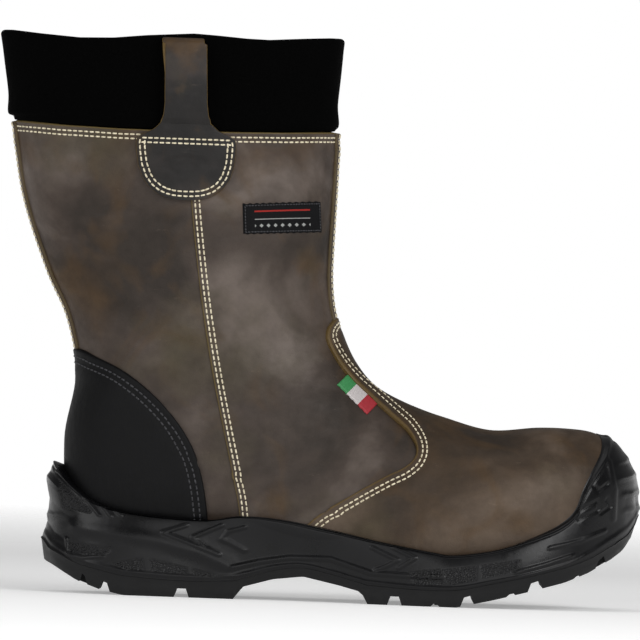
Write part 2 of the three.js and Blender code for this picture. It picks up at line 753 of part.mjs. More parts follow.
// The tread: a layer under the cup, with lugs cut by grooves and two channels along it.
function treadLevel(inset, heightAt) {
  return loopPoints.map(({ x, y, outX, outY }) => [x - outX * inset, y - outY * inset, heightAt(x)]);
}
const treadSolid = stacked([
  treadLevel(treadBevel, groundAt),
  treadLevel(-treadLip, (x) => partingAt(x) - gap - treadLip),
  treadLevel(0, (x) => partingAt(x) - gap),
]);
function groove({ from, to, depth }, fromY, toY) {
  const [a, b] = [inX(from), inX(to)];
  const rise = depth * lugDepth;
  const points = [
    [a - grooveFlare, -coreFar],
    [b + grooveFlare, -coreFar],
    [b + grooveFlare, groundAt(b)],
    [b - grooveFlare, groundAt(b) + rise],
    [a + grooveFlare, groundAt(a) + rise],
    [a - grooveFlare, groundAt(a)],
  ];
  return sidePrism(points, 0, fromY, toY);
}
function channel(middleY) {
  const roofAt = (x) => Math.min(groundAt(x) + channelDepth, partingAt(x) - gap - channelRoof);
  const line = channelRows.map(({ along }) => [inX(along), roofAt(inX(along))]);
  const [heel, toe] = [line[0][0], line[line.length - 1][0]];
  const points = [...line, [toe, -coreFar], [heel, -coreFar]];
  return sidePrism(points, 0, middleY - channelWidth / 2, middleY + channelWidth / 2);
}
const middleHalf = middleRowWidth / 2;
const tread = [
  ...edgeGrooves.map((row) => groove(row, -coreFar, -middleHalf)),
  ...edgeGrooves.map((row) => groove(row, middleHalf, coreFar)),
  ...middleGrooves.map((row) => groove(row, -middleHalf, middleHalf)),
  channel(-middleHalf),
  channel(middleHalf),
].reduce((whole, cut) => whole.subtract(cut), treadSolid);

// Finishes.
const finish = (color, roughness) => new THREE.MeshStandardMaterial({ color, roughness, metalness: 0 });
const brownLeather = finish(0x52463c, 0.5);
const vampLeather = finish(0x57483a, 0.48);
const strapLeather = finish(0x3d3631, 0.5);
const blackLeather = finish(0x17171a, 0.7);
const blackTextile = finish(0x0c0c0e, 0.95);
const blackRubber = finish(0x16171a, 0.5);
const treadRubber = finish(0x121314, 0.65);
const insoleFelt = finish(0x2b2b2d, 0.95);
const labelTextile = finish(0x121212, 0.8);
const tagTextile = finish(0xd8d6cc, 0.75);

function meshOf(name, solid, material) {
  const { vertProperties, triVerts } = solid.getMesh();
  const geometry = new THREE.BufferGeometry();
  geometry.setAttribute("position", new THREE.BufferAttribute(vertProperties, 3));
  geometry.setIndex(new THREE.BufferAttribute(triVerts, 1));
  geometry.computeVertexNormals();
  const mesh = new THREE.Mesh(geometry, material);
  mesh.name = name;
  return mesh;
}

const boot = new THREE.Group();
boot.add(
  meshOf("outsole", tread, treadRubber),
  meshOf("midsole_cup", cup, blackRubber),
  meshOf("insole", insole, insoleFelt),
  meshOf("upper", upper, brownLeather),
  meshOf("vamp", vamp, vampLeather),
  meshOf("heel_counter", counter, blackLeather),
  meshOf("front_strip", frontStrip, brownLeather),
  meshOf("back_strip", backStrip, brownLeather),
  meshOf("cuff", cuff, blackTextile),
  meshOf("pull_strap_outer", pullStrap(-coreFar, 0), strapLeather),
  meshOf("pull_strap_inner", pullStrap(0, coreFar), strapLeather),
  meshOf("woven_label", label, labelTextile),
  meshOf("side_tag", tag, tagTextile),
);

export default boot;
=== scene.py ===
import math

import bpy
import numpy as np
from mathutils import Matrix, Vector
from mathutils.bvhtree import BVHTree


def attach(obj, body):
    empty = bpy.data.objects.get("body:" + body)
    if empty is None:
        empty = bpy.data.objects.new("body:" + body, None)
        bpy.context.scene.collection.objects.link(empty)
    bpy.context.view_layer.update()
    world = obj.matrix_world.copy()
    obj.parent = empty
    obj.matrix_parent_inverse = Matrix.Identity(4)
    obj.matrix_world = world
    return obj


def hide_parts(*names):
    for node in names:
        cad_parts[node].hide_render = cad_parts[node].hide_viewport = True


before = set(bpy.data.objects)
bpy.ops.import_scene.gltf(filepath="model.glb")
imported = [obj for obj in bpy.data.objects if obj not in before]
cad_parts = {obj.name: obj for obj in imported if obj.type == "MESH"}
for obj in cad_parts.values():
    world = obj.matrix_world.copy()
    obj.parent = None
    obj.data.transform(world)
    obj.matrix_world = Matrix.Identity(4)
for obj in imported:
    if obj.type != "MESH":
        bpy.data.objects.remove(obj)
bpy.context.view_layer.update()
bpy.ops.object.select_all(action="DESELECT")

# Main sizes.
sole_length = 307
heel_to_origin = 54
sole_width = 112
ball_width = 96
instep_height = 121
heel_height = 32
shaft_height = 241
shaft_width = 84
cuff_height = 46

# Thicknesses.
leather_thickness = 2.1
upper_wall = 3
insole_thickness = 4.2
front_panel_step = 1.2
vamp_outside = 3.3
counter_outside = 2.3
strip_outside = 2.7
back_strip_outside = 1.5
strip_width = 13
strap_outside = 3.4
strap_thickness = 1.9
strap_width = 22
cuff_outside = -3.3
cuff_thickness = 4.5
cup_rim = 4.6
gap = 0.3

# How finely the forms are divided.
stations_per_row = 9
turns_around = 232
outline_steps = 28
cup_levels = 84


def table(names, rows):
    """A table with named columns: the names once, then a row of numbers for each line of it."""
    return dict(zip(names.split(), np.array(rows, float).T))


# Sections of the last: a front or top point, a back or bottom point, half widths, where the
# section is widest, and the powers round its two ends.
section_columns = "front_along front_up back_along back_up outer inner widest front back"
foot_sections = table(section_columns, [
    [0.98, 0.455, 0.98, 1.72, 0, 0, 0.5, 2, 2],
    [0.974, 0.537, 0.974, 1.44, 0.11, 0.2, 0.5, 2.2, 2.4],
    [0.961, 0.624, 0.957, 1.22, 0.2, 0.29, 0.45, 2.3, 3],
    [0.942, 0.694, 0.94, 1.07, 0.27, 0.355, 0.42, 2.3, 3.2],
    [0.914, 0.729, 0.916, 0.93, 0.335, 0.405, 0.4, 2.3, 3.3],
    [0.878, 0.74, 0.878, 0.8, 0.4, 0.445, 0.38, 2.3, 3.5],
    [0.826, 0.74, 0.826, 0.67, 0.465, 0.48, 0.35, 2.2, 3.8],
    [0.745, 0.723, 0.745, 0.578, 0.51, 0.49, 0.32, 2.1, 4],
    [0.665, 0.772, 0.663, 0.547, 0.505, 0.465, 0.3, 2, 4],
    [0.601, 0.825, 0.579, 0.563, 0.475, 0.43, 0.3, 2, 4],
    [0.546, 0.901, 0.487, 0.64, 0.44, 0.4, 0.3, 2, 4],
    [0.51, 1, 0.383, 0.766, 0.415, 0.385, 0.3, 2, 3.6],
])
heel_sections = table(section_columns, [
    [0.486, 0.56, 0.269, 0.906, 0.4, 0.385, 0.32, 2, 3.2],
    [0.471, 0.622, 0.136, 1, 0.395, 0.385, 0.34, 2, 2.8],
    [0.465, 0.685, 0.057, 1.375, 0.39, 0.385, 0.38, 2, 2.4],
])
shaft_sections = table(section_columns, [
    [0.465, 0.747, 0.04, 0.324, 0.445, 0.44, 0.42, 2, 2.2],
    [0.466, 0.797, 0.055, 0.461, 0.445, 0.44, 0.46, 2, 2.1],
    [0.467, 0.842, 0.035, 0.585, 0.45, 0.45, 0.5, 2, 2],
    [0.468, 0.888, -0.003, 0.689, 0.46, 0.46, 0.5, 2, 2],
    [0.469, 0.942, -0.046, 0.842, 0.48, 0.48, 0.5, 2, 2],
    [0.47, 1, -0.07, 1, 0.5, 0.5, 0.5, 2, 2],
])
cuff_sections = table(section_columns, [
    [0.48, 0.16, -0.087, 0.16, 0.51, 0.51, 0.5, 2, 2],
    [0.491, 1.02, -0.109, 1.02, 0.52, 0.52, 0.5, 2, 2],
    [0.494, 1.3, -0.115, 1.3, 0.52, 0.52, 0.5, 2, 2],
])

# The sole from above, and its tread's underside and parting line.
sole_outline = table("along outer inner", [
    [0, 0, 0],
    [0.012, 0.143, 0.143],
    [0.04, 0.241, 0.241],
    [0.09, 0.308, 0.304],
    [0.16, 0.344, 0.335],
    [0.26, 0.357, 0.339],
    [0.36, 0.366, 0.326],
    [0.46, 0.393, 0.321],
    [0.56, 0.446, 0.375],
    [0.65, 0.491, 0.446],
    [0.73, 0.509, 0.482],
    [0.81, 0.487, 0.482],
    [0.88, 0.415, 0.455],
    [0.94, 0.295, 0.384],
    [0.98, 0.152, 0.277],
    [1, -0.0625, 0.0625],
])
tread_profile = table("along ground parting", [
    [0, 0.5, 0.88],
    [0.015, 0.44, 0.71],
    [0.06, 0.21, 0.5],
    [0.1, 0.08, 0.4],
    [0.14, 0, 0.32],
    [0.24, 0, 0.27],
    [0.326, 0, 0.3],
    [0.34, 0.2, 0.34],
    [0.39, 0.34, 0.48],
    [0.44, 0.4, 0.54],
    [0.5, 0.28, 0.43],
    [0.537, 0.19, 0.34],
    [0.548, 0, 0.31],
    [0.627, 0, 0.27],
    [0.696, 0, 0.28],
    [0.76, 0.14, 0.41],
    [0.82, 0.29, 0.54],
    [0.88, 0.45, 0.7],
    [0.92, 0.61, 0.86],
    [0.96, 0.84, 1.09],
    [0.98, 0.98, 1.23],
    [0.993, 1.17, 1.4],
    [1, 1.38, 1.56],
])
edge_grooves = table("start end depth", [
    [0.07, 0.079, 1],
    [0.104, 0.117, 1],
    [0.229, 0.249, 1],
    [0.585, 0.604, 1],
    [0.657, 0.667, 0.35],
    [0.707, 0.724, 1],
    [0.783, 0.793, 0.35],
    [0.818, 0.838, 1],
    [0.893, 0.901, 0.35],
    [0.93, 0.944, 1],
])
middle_grooves = table("start end depth", [
    [0.105, 0.118, 1],
    [0.229, 0.249, 1],
    [0.585, 0.604, 1],
    [0.645, 0.66, 1],
    [0.707, 0.724, 1],
    [0.76, 0.775, 1],
    [0.818, 0.838, 1],
    [0.87, 0.885, 1],
])

# Edges seen from the side, in shares of the sole's length and of the named height.
cup_edge = table("along up", [
    [-0.05, 0.58],
    [0.021, 0.58],
    [0.037, 0.526],
    [0.053, 0.468],
    [0.079, 0.406],
    [0.105, 0.374],
    [0.13, 0.355],
    [0.198, 0.336],
    [0.279, 0.33],
    [0.332, 0.351],
    [0.399, 0.345],
    [0.483, 0.31],
    [0.568, 0.266],
    [0.652, 0.231],
    [0.694, 0.221],
    [0.77, 0.254],
    [0.836, 0.323],
    [0.87, 0.373],
    [0.891, 0.43],
    [0.902, 0.51],
    [0.916, 0.59],
    [0.93, 0.665],
    [0.933, 0.715],
    [0.929, 0.748],
    [0.9235, 0.765],
    [0.9235, 0.95],
    [1.1, 0.95],
])
vamp_edge = table("along up", [
    [0.56, 1.223],
    [0.52, 1.223],
    [0.484, 1.213],
    [0.467, 1.173],
    [0.462, 1.125],
    [0.468, 1.075],
    [0.487, 0.997],
    [0.514, 0.919],
    [0.554, 0.832],
    [0.581, 0.776],
    [0.605, 0.725],
    [0.621, 0.665],
    [0.62, 0.615],
    [0.603, 0.573],
    [0.573, 0.535],
    [0.518, 0.455],
    [0.457, 0.353],
    [0.38, 0.16],
])
counter_edge = table("along up", [
    [-0.1, 1.043],
    [0.035, 1.043],
    [0.088, 0.998],
    [0.139, 0.934],
    [0.191, 0.829],
    [0.235, 0.697],
    [0.262, 0.554],
    [0.279, 0.33],
    [0.285, 0],
])
side_seam = table("along up", [
    [0.226, 1.1],
    [0.226, 0.95],
    [0.233, 0.841],
    [0.243, 0.739],
    [0.258, 0.612],
    [0.277, 0.484],
    [0.3, 0.357],
    [0.32, 0.251],
    [0.332, 0.176],
    [0.345, 0],
])
leather_top = table("along up", [
    [-0.1, 1.003],
    [-0.07, 1.001],
    [0.01, 0.994],
    [0.11, 0.99],
    [0.22, 0.989],
    [0.31, 0.991],
    [0.39, 0.994],
    [0.48, 1],
    [0.55, 1],
])
cuff_edge = table("along rise", [
    [-0.13, 1.2],
    [-0.09, 0.9],
    [-0.04, -0.6],
    [0.03, -2.2],
    [0.09, -1.8],
    [0.15, 0],
    [0.23, 1.6],
    [0.27, 1],
    [0.32, 0],
    [0.36, -0.2],
    [0.42, 1.2],
    [0.47, 2.2],
    [0.53, 2.6],
])

# Soft troughs (below zero) and ridges of the leather, seen from the side: side -1 is the outer
# side, 1 the inner, 0 both. Width and depth in millimetres.
creases = table("side from_along from_up to_along to_up width depth", [
    [-1, 0.0, 0.93, 0.12, 0.86, 13, 0.7],
    [-1, 0.01, 0.86, 0.15, 0.8, 10, -0.6],
    [-1, 0.03, 0.7, 0.17, 0.62, 16, 0.6],
    [-1, 0.06, 0.62, 0.2, 0.56, 9, -0.5],
    [-1, 0.3, 0.9, 0.32, 0.62, 13, -0.7],
    [-1, 0.37, 0.74, 0.4, 0.5, 15, 0.8],
    [-1, 0.27, 0.62, 0.42, 0.52, 12, -0.5],
    [-1, 0.3, 0.47, 0.44, 0.44, 14, 0.5],
    [-1, 0.34, 0.36, 0.5, 0.3, 12, -0.5],
    [-1, 0.62, 0.3, 0.74, 0.22, 16, -0.5],
    [-1, 0.66, 0.36, 0.8, 0.3, 14, 0.4],
    [1, 0.02, 0.9, 0.14, 0.83, 12, 0.6],
    [1, 0.05, 0.68, 0.2, 0.6, 14, -0.6],
    [1, 0.3, 0.86, 0.38, 0.6, 14, 0.6],
    [1, 0.3, 0.46, 0.46, 0.4, 13, -0.6],
    [1, 0.62, 0.3, 0.76, 0.24, 16, 0.4],
])

# Tone of the leather, warmer or cooler and lighter or darker: its own uneven colour, with painted
# highlights and painted shade in the light column. Each cloud reaches so many millimetres along and up from
# its middle.
leather_tone_and_painted_light = table("along up reach_along reach_up light warm", [
    [0.1, 0.76, 42, 55, -0.5, 0],
    [0.035, 0.9, 26, 14, 0.6, 0],
    [0.097, 0.797, 26, 16, -0.3, 0],
    [0.05, 0.666, 24, 20, -0.1, 0.4],
    [0.153, 0.564, 26, 16, -0.2, 0.3],
    [0.251, 0.355, 12, 22, 0.35, -0.1],
    [0.345, 0.925, 20, 10, 0.25, 0],
    [0.413, 0.886, 14, 14, 0.3, 0],
    [0.35, 0.754, 40, 9, -0.45, 0.1],
    [0.293, 0.656, 16, 22, 0.5, 0],
    [0.371, 0.574, 18, 35, 0.45, -0.1],
    [0.45, 0.663, 12, 40, -0.15, 0.6],
    [0.333, 0.444, 22, 14, -0.25, 0.4],
    [0.477, 0.407, 14, 14, 0, 0.4],
    [0.43, 0.277, 18, 10, 0.2, 0],
    [0.348, 0.209, 18, 9, -0.1, 0.5],
    [0.645, 0.394, 34, 14, -0.35, 0.6],
    [0.797, 0.358, 30, 9, -0.1, 0.7],
    [0.866, 0.275, 22, 14, 0.6, -0.1],
    [0.766, 0.249, 25, 12, 0.25, 0],
    [0.664, 0.288, 20, 12, -0.2, 0.1],
    [0.6, 0.178, 24, 9, 0, 0.4],
    [0.8, 0.187, 30, 8, 0, 0.5],
])
# Relief of the cup's side, in millimetres: lines are ridges, each through up to four points.
side_lines = table("x1 z1 x2 z2 x3 z3 x4 z4 width height", [
    [-41.5, 62.6, -33, 55.2, -26.6, 50.2, -18, 40.2, 1.3, 0.8],
    [-38.4, 63.7, -30, 56, -23, 49.3, -12.9, 40.9, 1.1, 0.7],
    [-43.4, 60.5, -37, 54.8, -31.7, 49.5, -24.2, 40.5, 1, 0.6],
    [20.8, 37, 9.1, 32.9, 22.6, 28.3, 38.3, 22.6, 1.5, 0.9],
    [38.8, 37.6, 24.1, 30.9, 30.9, 26, 38.3, 22.6, 1.5, 0.9],
    [50.7, 37, 42, 34.6, 39, 30.4, 42, 29.2, 1.4, 0.8],
    [40.5, 30.6, 45.3, 28, 48.6, 26.4, 51.1, 25.1, 1.4, 0.8],
    [116.4, 29, 129.5, 23.2, 123.9, 19.9, 118.3, 17.7, 1.4, 0.8],
    [127.2, 29.3, 138.2, 24.6, 134.1, 21.8, 130.1, 19.1, 1.4, 0.8],
    [45.2, 16.2, 59, 19.7, 74.4, 22.3, 95, 22.5, 1.8, 0.8],
    [95, 22.5, 115.8, 16.1, 134, 15.4, 151.9, 15.3, 1.8, 0.8],
    [154.1, 27.2, 168, 30.4, 182.2, 33.3, 205.1, 40.3, 1.5, 0.6],
    [207, 32.1, 215, 34, 223.3, 36.3, 235, 41.3, 1.5, 0.6],
    [190.4, 19.2, 198, 21.4, 205.7, 23.8, 218.4, 28.4, 1.5, 0.7],
    [-41.3, 27.6, -40, 20.2, -31.7, 18.4, -21.4, 19.5, 1.2, 0.6],
    [219.7, 50.6, 230.8, 56.7, 231.5, 52, 221.4, 47, 1, -0.7],
    [219.7, 50.6, 219.9, 49.4, 220.6, 48, 221.4, 47, 1, -0.7],
    [228.5, 64.8, 231.2, 61.8, 233.5, 63.8, 235.7, 65.6, 1, -0.7],
    [233.1, 50.6, 237.6, 53.8, 237, 56, 235.9, 57.9, 1, -0.7],
    [231.5, 86, 236.3, 76.4, 239.6, 62.1, 239.4, 47.6, 2, 0.5],
])
# Ribs round the toe and waves round the heel, by height: they fade out towards the middle.
toe_ribs = table("height along width depth", [
    [79, 0.952, 2, 0.5],
    [71, 0.957, 2, 0.55],
    [62, 0.962, 2, 0.55],
    [54, 0.966, 2, 0.5],
])
heel_waves = table("height along width depth", [
    [65, 0.05, 2, 0.5],
    [57.5, 0.05, 2.4, 0.5],
    [39.5, 0.05, 2.4, 0.6],
    [27, 0.05, 3, 0.5],
])
# How much more the cup stands out at the back of the heel, from its parting line up to its edge.
heel_swell = table("up out", [
    [0, -0.3],
    [0.07, -1.6],
    [0.2, -2.4],
    [0.36, -1.2],
    [0.45, -0.2],
    [0.54, 2],
    [0.635, 4.2],
    [0.7, 5],
    [0.775, 4.4],
    [0.86, 4.7],
    [0.94, 3.2],
    [1, -0.5],
])
# How far the leather stands out from the last where the cup's edge lies on it.
leather_under_cup = table("along out", [
    [0.25, 2.3],
    [0.29, 0],
    [0.325, 0],
    [0.345, 1.2],
    [0.43, 1.2],
    [0.48, 3.3],
])
# Stippled panels sunk in the side, each with four corners.
stippled = table("x1 z1 x2 z2 x3 z3 x4 z4", [
    [-42.5, 57.6, -27.8, 43, -28.3, 40.4, -43.4, 43],
    [-41, 27.2, -15.5, 23.4, -21.4, 19.7, -39.6, 20.2],
    [-19.7, 16, -1, 19.9, 0.3, 12.8, -9, 12.4],
    [2.5, 19.4, 22, 15.4, 22.5, 11.4, 3.5, 12.4],
    [24.3, 15.1, 42.5, 11.6, 36, 10.2, 25, 11.1],
    [134, 17.4, 151.5, 20, 154.4, 11, 139, 10.4],
    [152.2, 19.6, 169.5, 22.2, 170.6, 13.8, 155, 11],
    [171.4, 22.8, 191.8, 25.8, 193, 19.6, 172.6, 15],
])
# The long smooth swell across the heel's side.
swell = table("x z", [
    [-36, 34.2],
    [-18.8, 32.4],
    [7.1, 28.8],
    [27.8, 23.6],
    [43, 17],
])

strap_along = 0.22
strap_lean = 0.035
# Half width of the strap from its tab's lower end up to the loop, as shares of strap_width.
strap_shape = table("up half", [
    [-0.82, 0],
    [-0.818, 0.17],
    [-0.81, 0.33],
    [-0.79, 0.5],
    [-0.75, 0.68],
    [-0.68, 0.86],
    [-0.58, 1],
    [-0.44, 1.1],
    [-0.3, 1.14],
    [-0.18, 1.15],
    [-0.13, 1.12],
    [-0.085, 0.95],
    [-0.035, 0.73],
    [0.03, 0.6],
    [0.12, 0.52],
    [0.25, 0.49],
    [0.6, 0.485],
    [0.96, 0.485],
])
strap_top = 0.98
tab_stitch_tops = [234.6, 232.3]

label_place = {"along": 0.383, "level": 0.813 * shaft_height, "length": 39, "height": 15.5, "tilt": 3.9}
tag_place = {"along": 0.519, "level": 0.876 * instep_height, "length": 22, "height": 7.2, "tilt": -43}


def in_x(along):
    """A share of the sole's length as an x."""
    return along * sole_length - heel_to_origin


def share_of_sole(x):
    """How far along the sole a place is: the reverse of in_x."""
    return (x + heel_to_origin) / sole_length


def smooth_at(values, t):
    """Smooth value of a column at fractional rows."""
    last = len(values) - 1
    row = np.minimum(np.floor(t).astype(int), last - 1)
    f = t - row
    a, b, c, d = (values[np.clip(row + k, 0, last)] for k in (-1, 0, 1, 2))
    return b + 0.5 * f * (c - a + f * (2 * a - 5 * b + 4 * c - d + f * (3 * (b - c) + d - a)))


def smoothstep(value, low, high):
    """0 below low, 1 above high, smooth between."""
    t = np.clip((value - low) / (high - low), 0, 1)
    return t * t * (3 - 2 * t)


def placed(rows, front_base, front_scale, back_base, back_scale, width):
    """A table of sections in millimetres."""
    return {
        "front_x": in_x(rows["front_along"]),
        "front_z": front_base + rows["front_up"] * front_scale,
        "back_x": in_x(rows["back_along"]),
        "back_z": back_base + rows["back_up"] * back_scale,
        "outer": rows["outer"] * width,
        "inner": rows["inner"] * width,
        "widest": rows["widest"],
        "front": rows["front"],
        "back": rows["back"],
    }


last_parts = [
    placed(foot_sections, 0, instep_height, 0, heel_height, ball_width),
    placed(heel_sections, 0, shaft_height, 0, heel_height, ball_width),
    placed(shaft_sections, 0, shaft_height, 0, shaft_height, shaft_width),
    placed(cuff_sections, shaft_height, cuff_height, shaft_height, cuff_height, shaft_width),
]
last_rows = {name: np.concatenate([part[name] for part in last_parts]) for name in last_parts[0]}
last_rows["back_z"][0] = last_rows["front_z"][0]
heel_row = 13
leather_end = 20
cuff_end = 23


def last_point(t, turn):
    """Places on the last for stations along it and turns round it."""
    row = {name: smooth_at(values, t) for name, values in last_rows.items()}
    c = np.cos(turn)
    s = np.sin(turn)
    power = 2 / np.where(c >= 0, row["front"], row["back"])
    reach = np.where(c >= 0, 1 - row["widest"], -row["widest"])
    share = row["widest"] + reach * np.abs(c) ** power
    y = np.abs(s) ** power * np.where(s > 0, -row["outer"], row["inner"])
    x = row["back_x"] + (row["front_x"] - row["back_x"]) * share
    z = row["back_z"] + (row["front_z"] - row["back_z"]) * share
    return np.stack([x, y, z], -1)


def unit(vectors):
    """Vectors brought to length one."""
    return vectors / np.maximum(np.linalg.norm(vectors, axis=-1, keepdims=True), 1e-9)


def last_normal(t, turn):
    """The way out of the last at places on it."""
    step = 0.02
    along = last_point(np.minimum(cuff_end, t + step), turn) - last_point(np.maximum(0, t - step), turn)
    around = last_point(t, turn + step) - last_point(t, turn - step)
    normal = unit(np.cross(along, around))
    middle = (last_point(t, turn * 0) + last_point(t, turn * 0 + math.pi)) / 2
    facing = np.sum(normal * (last_point(t, turn) - middle), -1, keepdims=True)
    normal = np.where(facing < 0, -normal, normal)
    return np.where(np.reshape(t, np.shape(t) + (1,)) <= 0, np.array([1.0, 0, 0]), normal)


def segment_distance(points, a, b):
    """Distance in the side view from points to one segment, and the share along it."""
    a = np.asarray(a, float)
    run = np.asarray(b, float) - a
    share = np.clip(((points - a) @ run) / max(run @ run, 1e-9), 0, 1)
    return np.linalg.norm(points - a - share[..., None] * run, axis=-1), share


def flat(points):
    """The side view of points: their x and z."""
    return points[..., [0, 2]]


def crease_height(points):
    """How far the leather stands out or in at places on the last."""
    xz = flat(points)
    height = np.zeros(points.shape[:-1])
    for k in range(len(creases["side"])):
        row = {name: values[k] for name, values in creases.items()}
        a = (in_x(row["from_along"]), row["from_up"] * shaft_height)
        b = (in_x(row["to_along"]), row["to_up"] * shaft_height)
        distance, share = segment_distance(xz, a, b)
        fade = np.sin(np.pi * (0.12 + 0.76 * share))
        bump = row["depth"] * np.exp(-((distance / row["width"]) ** 2) * 2.5) * fade
        if row["side"]:
            bump = bump * smoothstep(row["side"] * points[..., 1], 0, 14)
        height += bump
    return height


# Sheets: triangles of the last that are cut along levels of a field and given a thickness.
def whole_sheet(first, final):
    """A grid of triangles on the last between two stations."""
    count = int(round((final - first) * stations_per_row)) + 1
    t, turn = np.meshgrid(
        np.linspace(first, final, count),
        np.linspace(0, 2 * math.pi, turns_around + 1),
        indexing="ij",
    )
    places = np.stack([t.ravel(), turn.ravel()], -1)
    width = turns_around + 1
    low = (np.arange(count - 1)[:, None] * width + np.arange(turns_around)[None, :]).ravel()
    quads = np.stack([low, low + 1, low + width + 1, low + width], -1)
    triangles = np.concatenate([quads[:, [0, 1, 2]], quads[:, [0, 2, 3]]])
    return places, triangles


def split(places, triangles, field, level):
    """Splits the triangles that a level of the field crosses, along that level."""
    value = field(last_point(places[:, 0], places[:, 1])) - level
    value = np.where(np.abs(value) < 1e-5, 1e-5, value)
    above = value[triangles] > 0
    count = above.sum(1)
    mixed = (count == 1) | (count == 2)
    kept = triangles[~mixed]
    cut = triangles[mixed]
    lone = np.where(count[mixed] == 1, above[mixed].argmax(1), (~above[mixed]).argmax(1))
    rows = np.arange(len(cut))
    a, b, c = (cut[rows, (lone + k) % 3] for k in range(3))
    pairs = np.sort(np.concatenate([np.stack([a, b], -1), np.stack([a, c], -1)]), 1)
    edges, index = np.unique(pairs, axis=0, return_inverse=True)
    index = index.ravel()
    low, high = edges[:, 0], edges[:, 1]
    share = (value[low] / (value[low] - value[high]))[:, None]
    added = places[low] + (places[high] - places[low]) * share
    ab = index[: len(cut)] + len(places)
    ac = index[len(cut):] + len(places)
    pieces = [np.stack(three, -1) for three in ((a, ab, ac), (ab, b, c), (ab, c, ac))]
    return np.concatenate([places, added]), np.concatenate([kept, *pieces]), np.stack([ab, ac], -1)


def inside(places, triangles, field):
    """The triangles whose middle lies where the field is above zero."""
    value = field(last_point(places[:, 0], places[:, 1]))
    return triangles[value[triangles].mean(1) > 0]


def tidy_sheet(places, triangles):
    """Joins the sheet at the full turn and drops unused places."""
    points = last_point(places[:, 0], places[:, 1])
    key = np.round(points / 0.002).astype(np.int64)
    _, first, inverse = np.unique(key, axis=0, return_index=True, return_inverse=True)
    inverse = inverse.ravel()
    triangles = inverse[triangles]
    good = (triangles[:, 0] != triangles[:, 1]) & (triangles[:, 1] != triangles[:, 2])
    good &= triangles[:, 0] != triangles[:, 2]
    triangles = triangles[good]
    used, packed = np.unique(triangles, return_inverse=True)
    return places[first][used], packed.reshape(-1, 3)


def outer_edges(triangles):
    """The directed edges that only one triangle has."""
    edges = np.concatenate([triangles[:, [0, 1]], triangles[:, [1, 2]], triangles[:, [2, 0]]])
    _, index, count = np.unique(np.sort(edges, 1), axis=0, return_index=True, return_counts=True)
    return edges[index[count == 1]]


def inside_outline(xz, outline):
    """Whether side-view places lie inside an outline, and how far each is from it."""
    distance = np.full(xz.shape[:-1], 1e9)
    within = np.zeros(xz.shape[:-1], bool)
    for a, b in zip(outline, np.roll(outline, -1, 0)):
        distance = np.minimum(distance, segment_distance(xz, a, b)[0])
        crosses = (a[1] > xz[..., 1]) != (b[1] > xz[..., 1])
        rise = b[1] - a[1] if b[1] != a[1] else 1
        within ^= crosses & (xz[..., 0] < a[0] + (xz[..., 1] - a[1]) / rise * (b[0] - a[0]))
    return within, distance


def smooth_line(along, up, height, steps=8):
    """A smooth side-view line through a table's points, in millimetres."""
    t = np.linspace(0, len(along) - 1, (len(along) - 1) * steps + 1)
    return np.stack([in_x(smooth_at(along, t)), smooth_at(up, t) * height], -1)


def region(edge, height, corners):
    """A field that is the distance in from an edge line, which corners close to an outline."""
    line = smooth_line(edge["along"], edge["up"], height)
    outline = np.concatenate([line, np.array(corners, float)])

    def field(points):
        within, distance = inside_outline(flat(points), outline)
        return np.where(within, distance, -distance)

    return field


def feather_height(x):
    """Height of the last's lower edge."""
    t = np.arange(heel_row, 0.5, -0.25)
    return np.interp(x, smooth_at(last_rows["back_x"], t), smooth_at(last_rows["back_z"], t))


def above_feather(points):
    """Height above the insole's edge."""
    return points[..., 2] - feather_height(points[..., 0]) - insole_thickness - gap


def below_top(points):
    """Distance down from the leather's top edge."""
    top = np.interp(points[..., 0], in_x(leather_top["along"]), leather_top["up"] * shaft_height)
    return top - points[..., 2]


far = 400
vamp_region = region(vamp_edge, instep_height, [[in_x(0.38), -far], [far, -far], [far, 148]])
counter_region = region(counter_edge, instep_height, [[in_x(0.285), -far], [-far, -far], [-far, 126.2]])
seam_region = region(
    side_seam, shaft_height, [[in_x(0.345), -far], [far, -far], [far, far], [in_x(0.226), far]],
)


def front_half(points):
    return points[..., 0] - in_x(0.3)


def back_half(points):
    return in_x(0.14) - points[..., 0]


def strip_field(points):
    """Distance in from a seam strip's edge."""
    return strip_width / 2 - np.abs(points[..., 1])


def nearest(*fields):
    """The field that is the least of several."""
    return lambda points: np.min([field(points) for field in fields], 0)


def rounded(distance, radius):
    """How far a rounded edge falls below the full thickness."""
    share = np.clip(1 - distance / radius, 0, 1)
    return radius * (1 - np.sqrt(1 - share**2))


# Making meshes.
def new_piece(name, points, faces, smooth_angle=40):
    """A mesh from points in millimetres, faces outwards."""
    mesh = bpy.data.meshes.new(name)
    mesh.from_pydata((np.asarray(points) * 0.001).tolist(), [], [list(map(int, f)) for f in faces])
    mesh.update()
    piece = bpy.data.objects.new(name, mesh)
    bpy.context.scene.collection.objects.link(piece)
    bpy.ops.object.select_all(action="DESELECT")
    piece.select_set(True)
    bpy.context.view_layer.objects.active = piece
    bpy.ops.object.mode_set(mode="EDIT")
    bpy.ops.mesh.select_all(action="SELECT")
    bpy.ops.mesh.normals_make_consistent(inside=False)
    bpy.ops.object.mode_set(mode="OBJECT")
    bpy.ops.object.shade_smooth_by_angle(angle=math.radians(smooth_angle))
    piece.select_set(False)
    return piece


def ring_faces(count, rings):
    """Faces between rings of points, each ring joined to the one before it."""
    faces = []
    for i in range(rings - 1):
        for k in range(count):
            a = i * count + k
            b = i * count + (k + 1) % count
            faces.append([a, b, b + count, a + count])
    return faces


def set_attribute(piece, name, values):
    attribute = piece.data.attributes.new(name, "FLOAT", "POINT")
    attribute.data.foreach_set("value", np.asarray(values, np.float32))


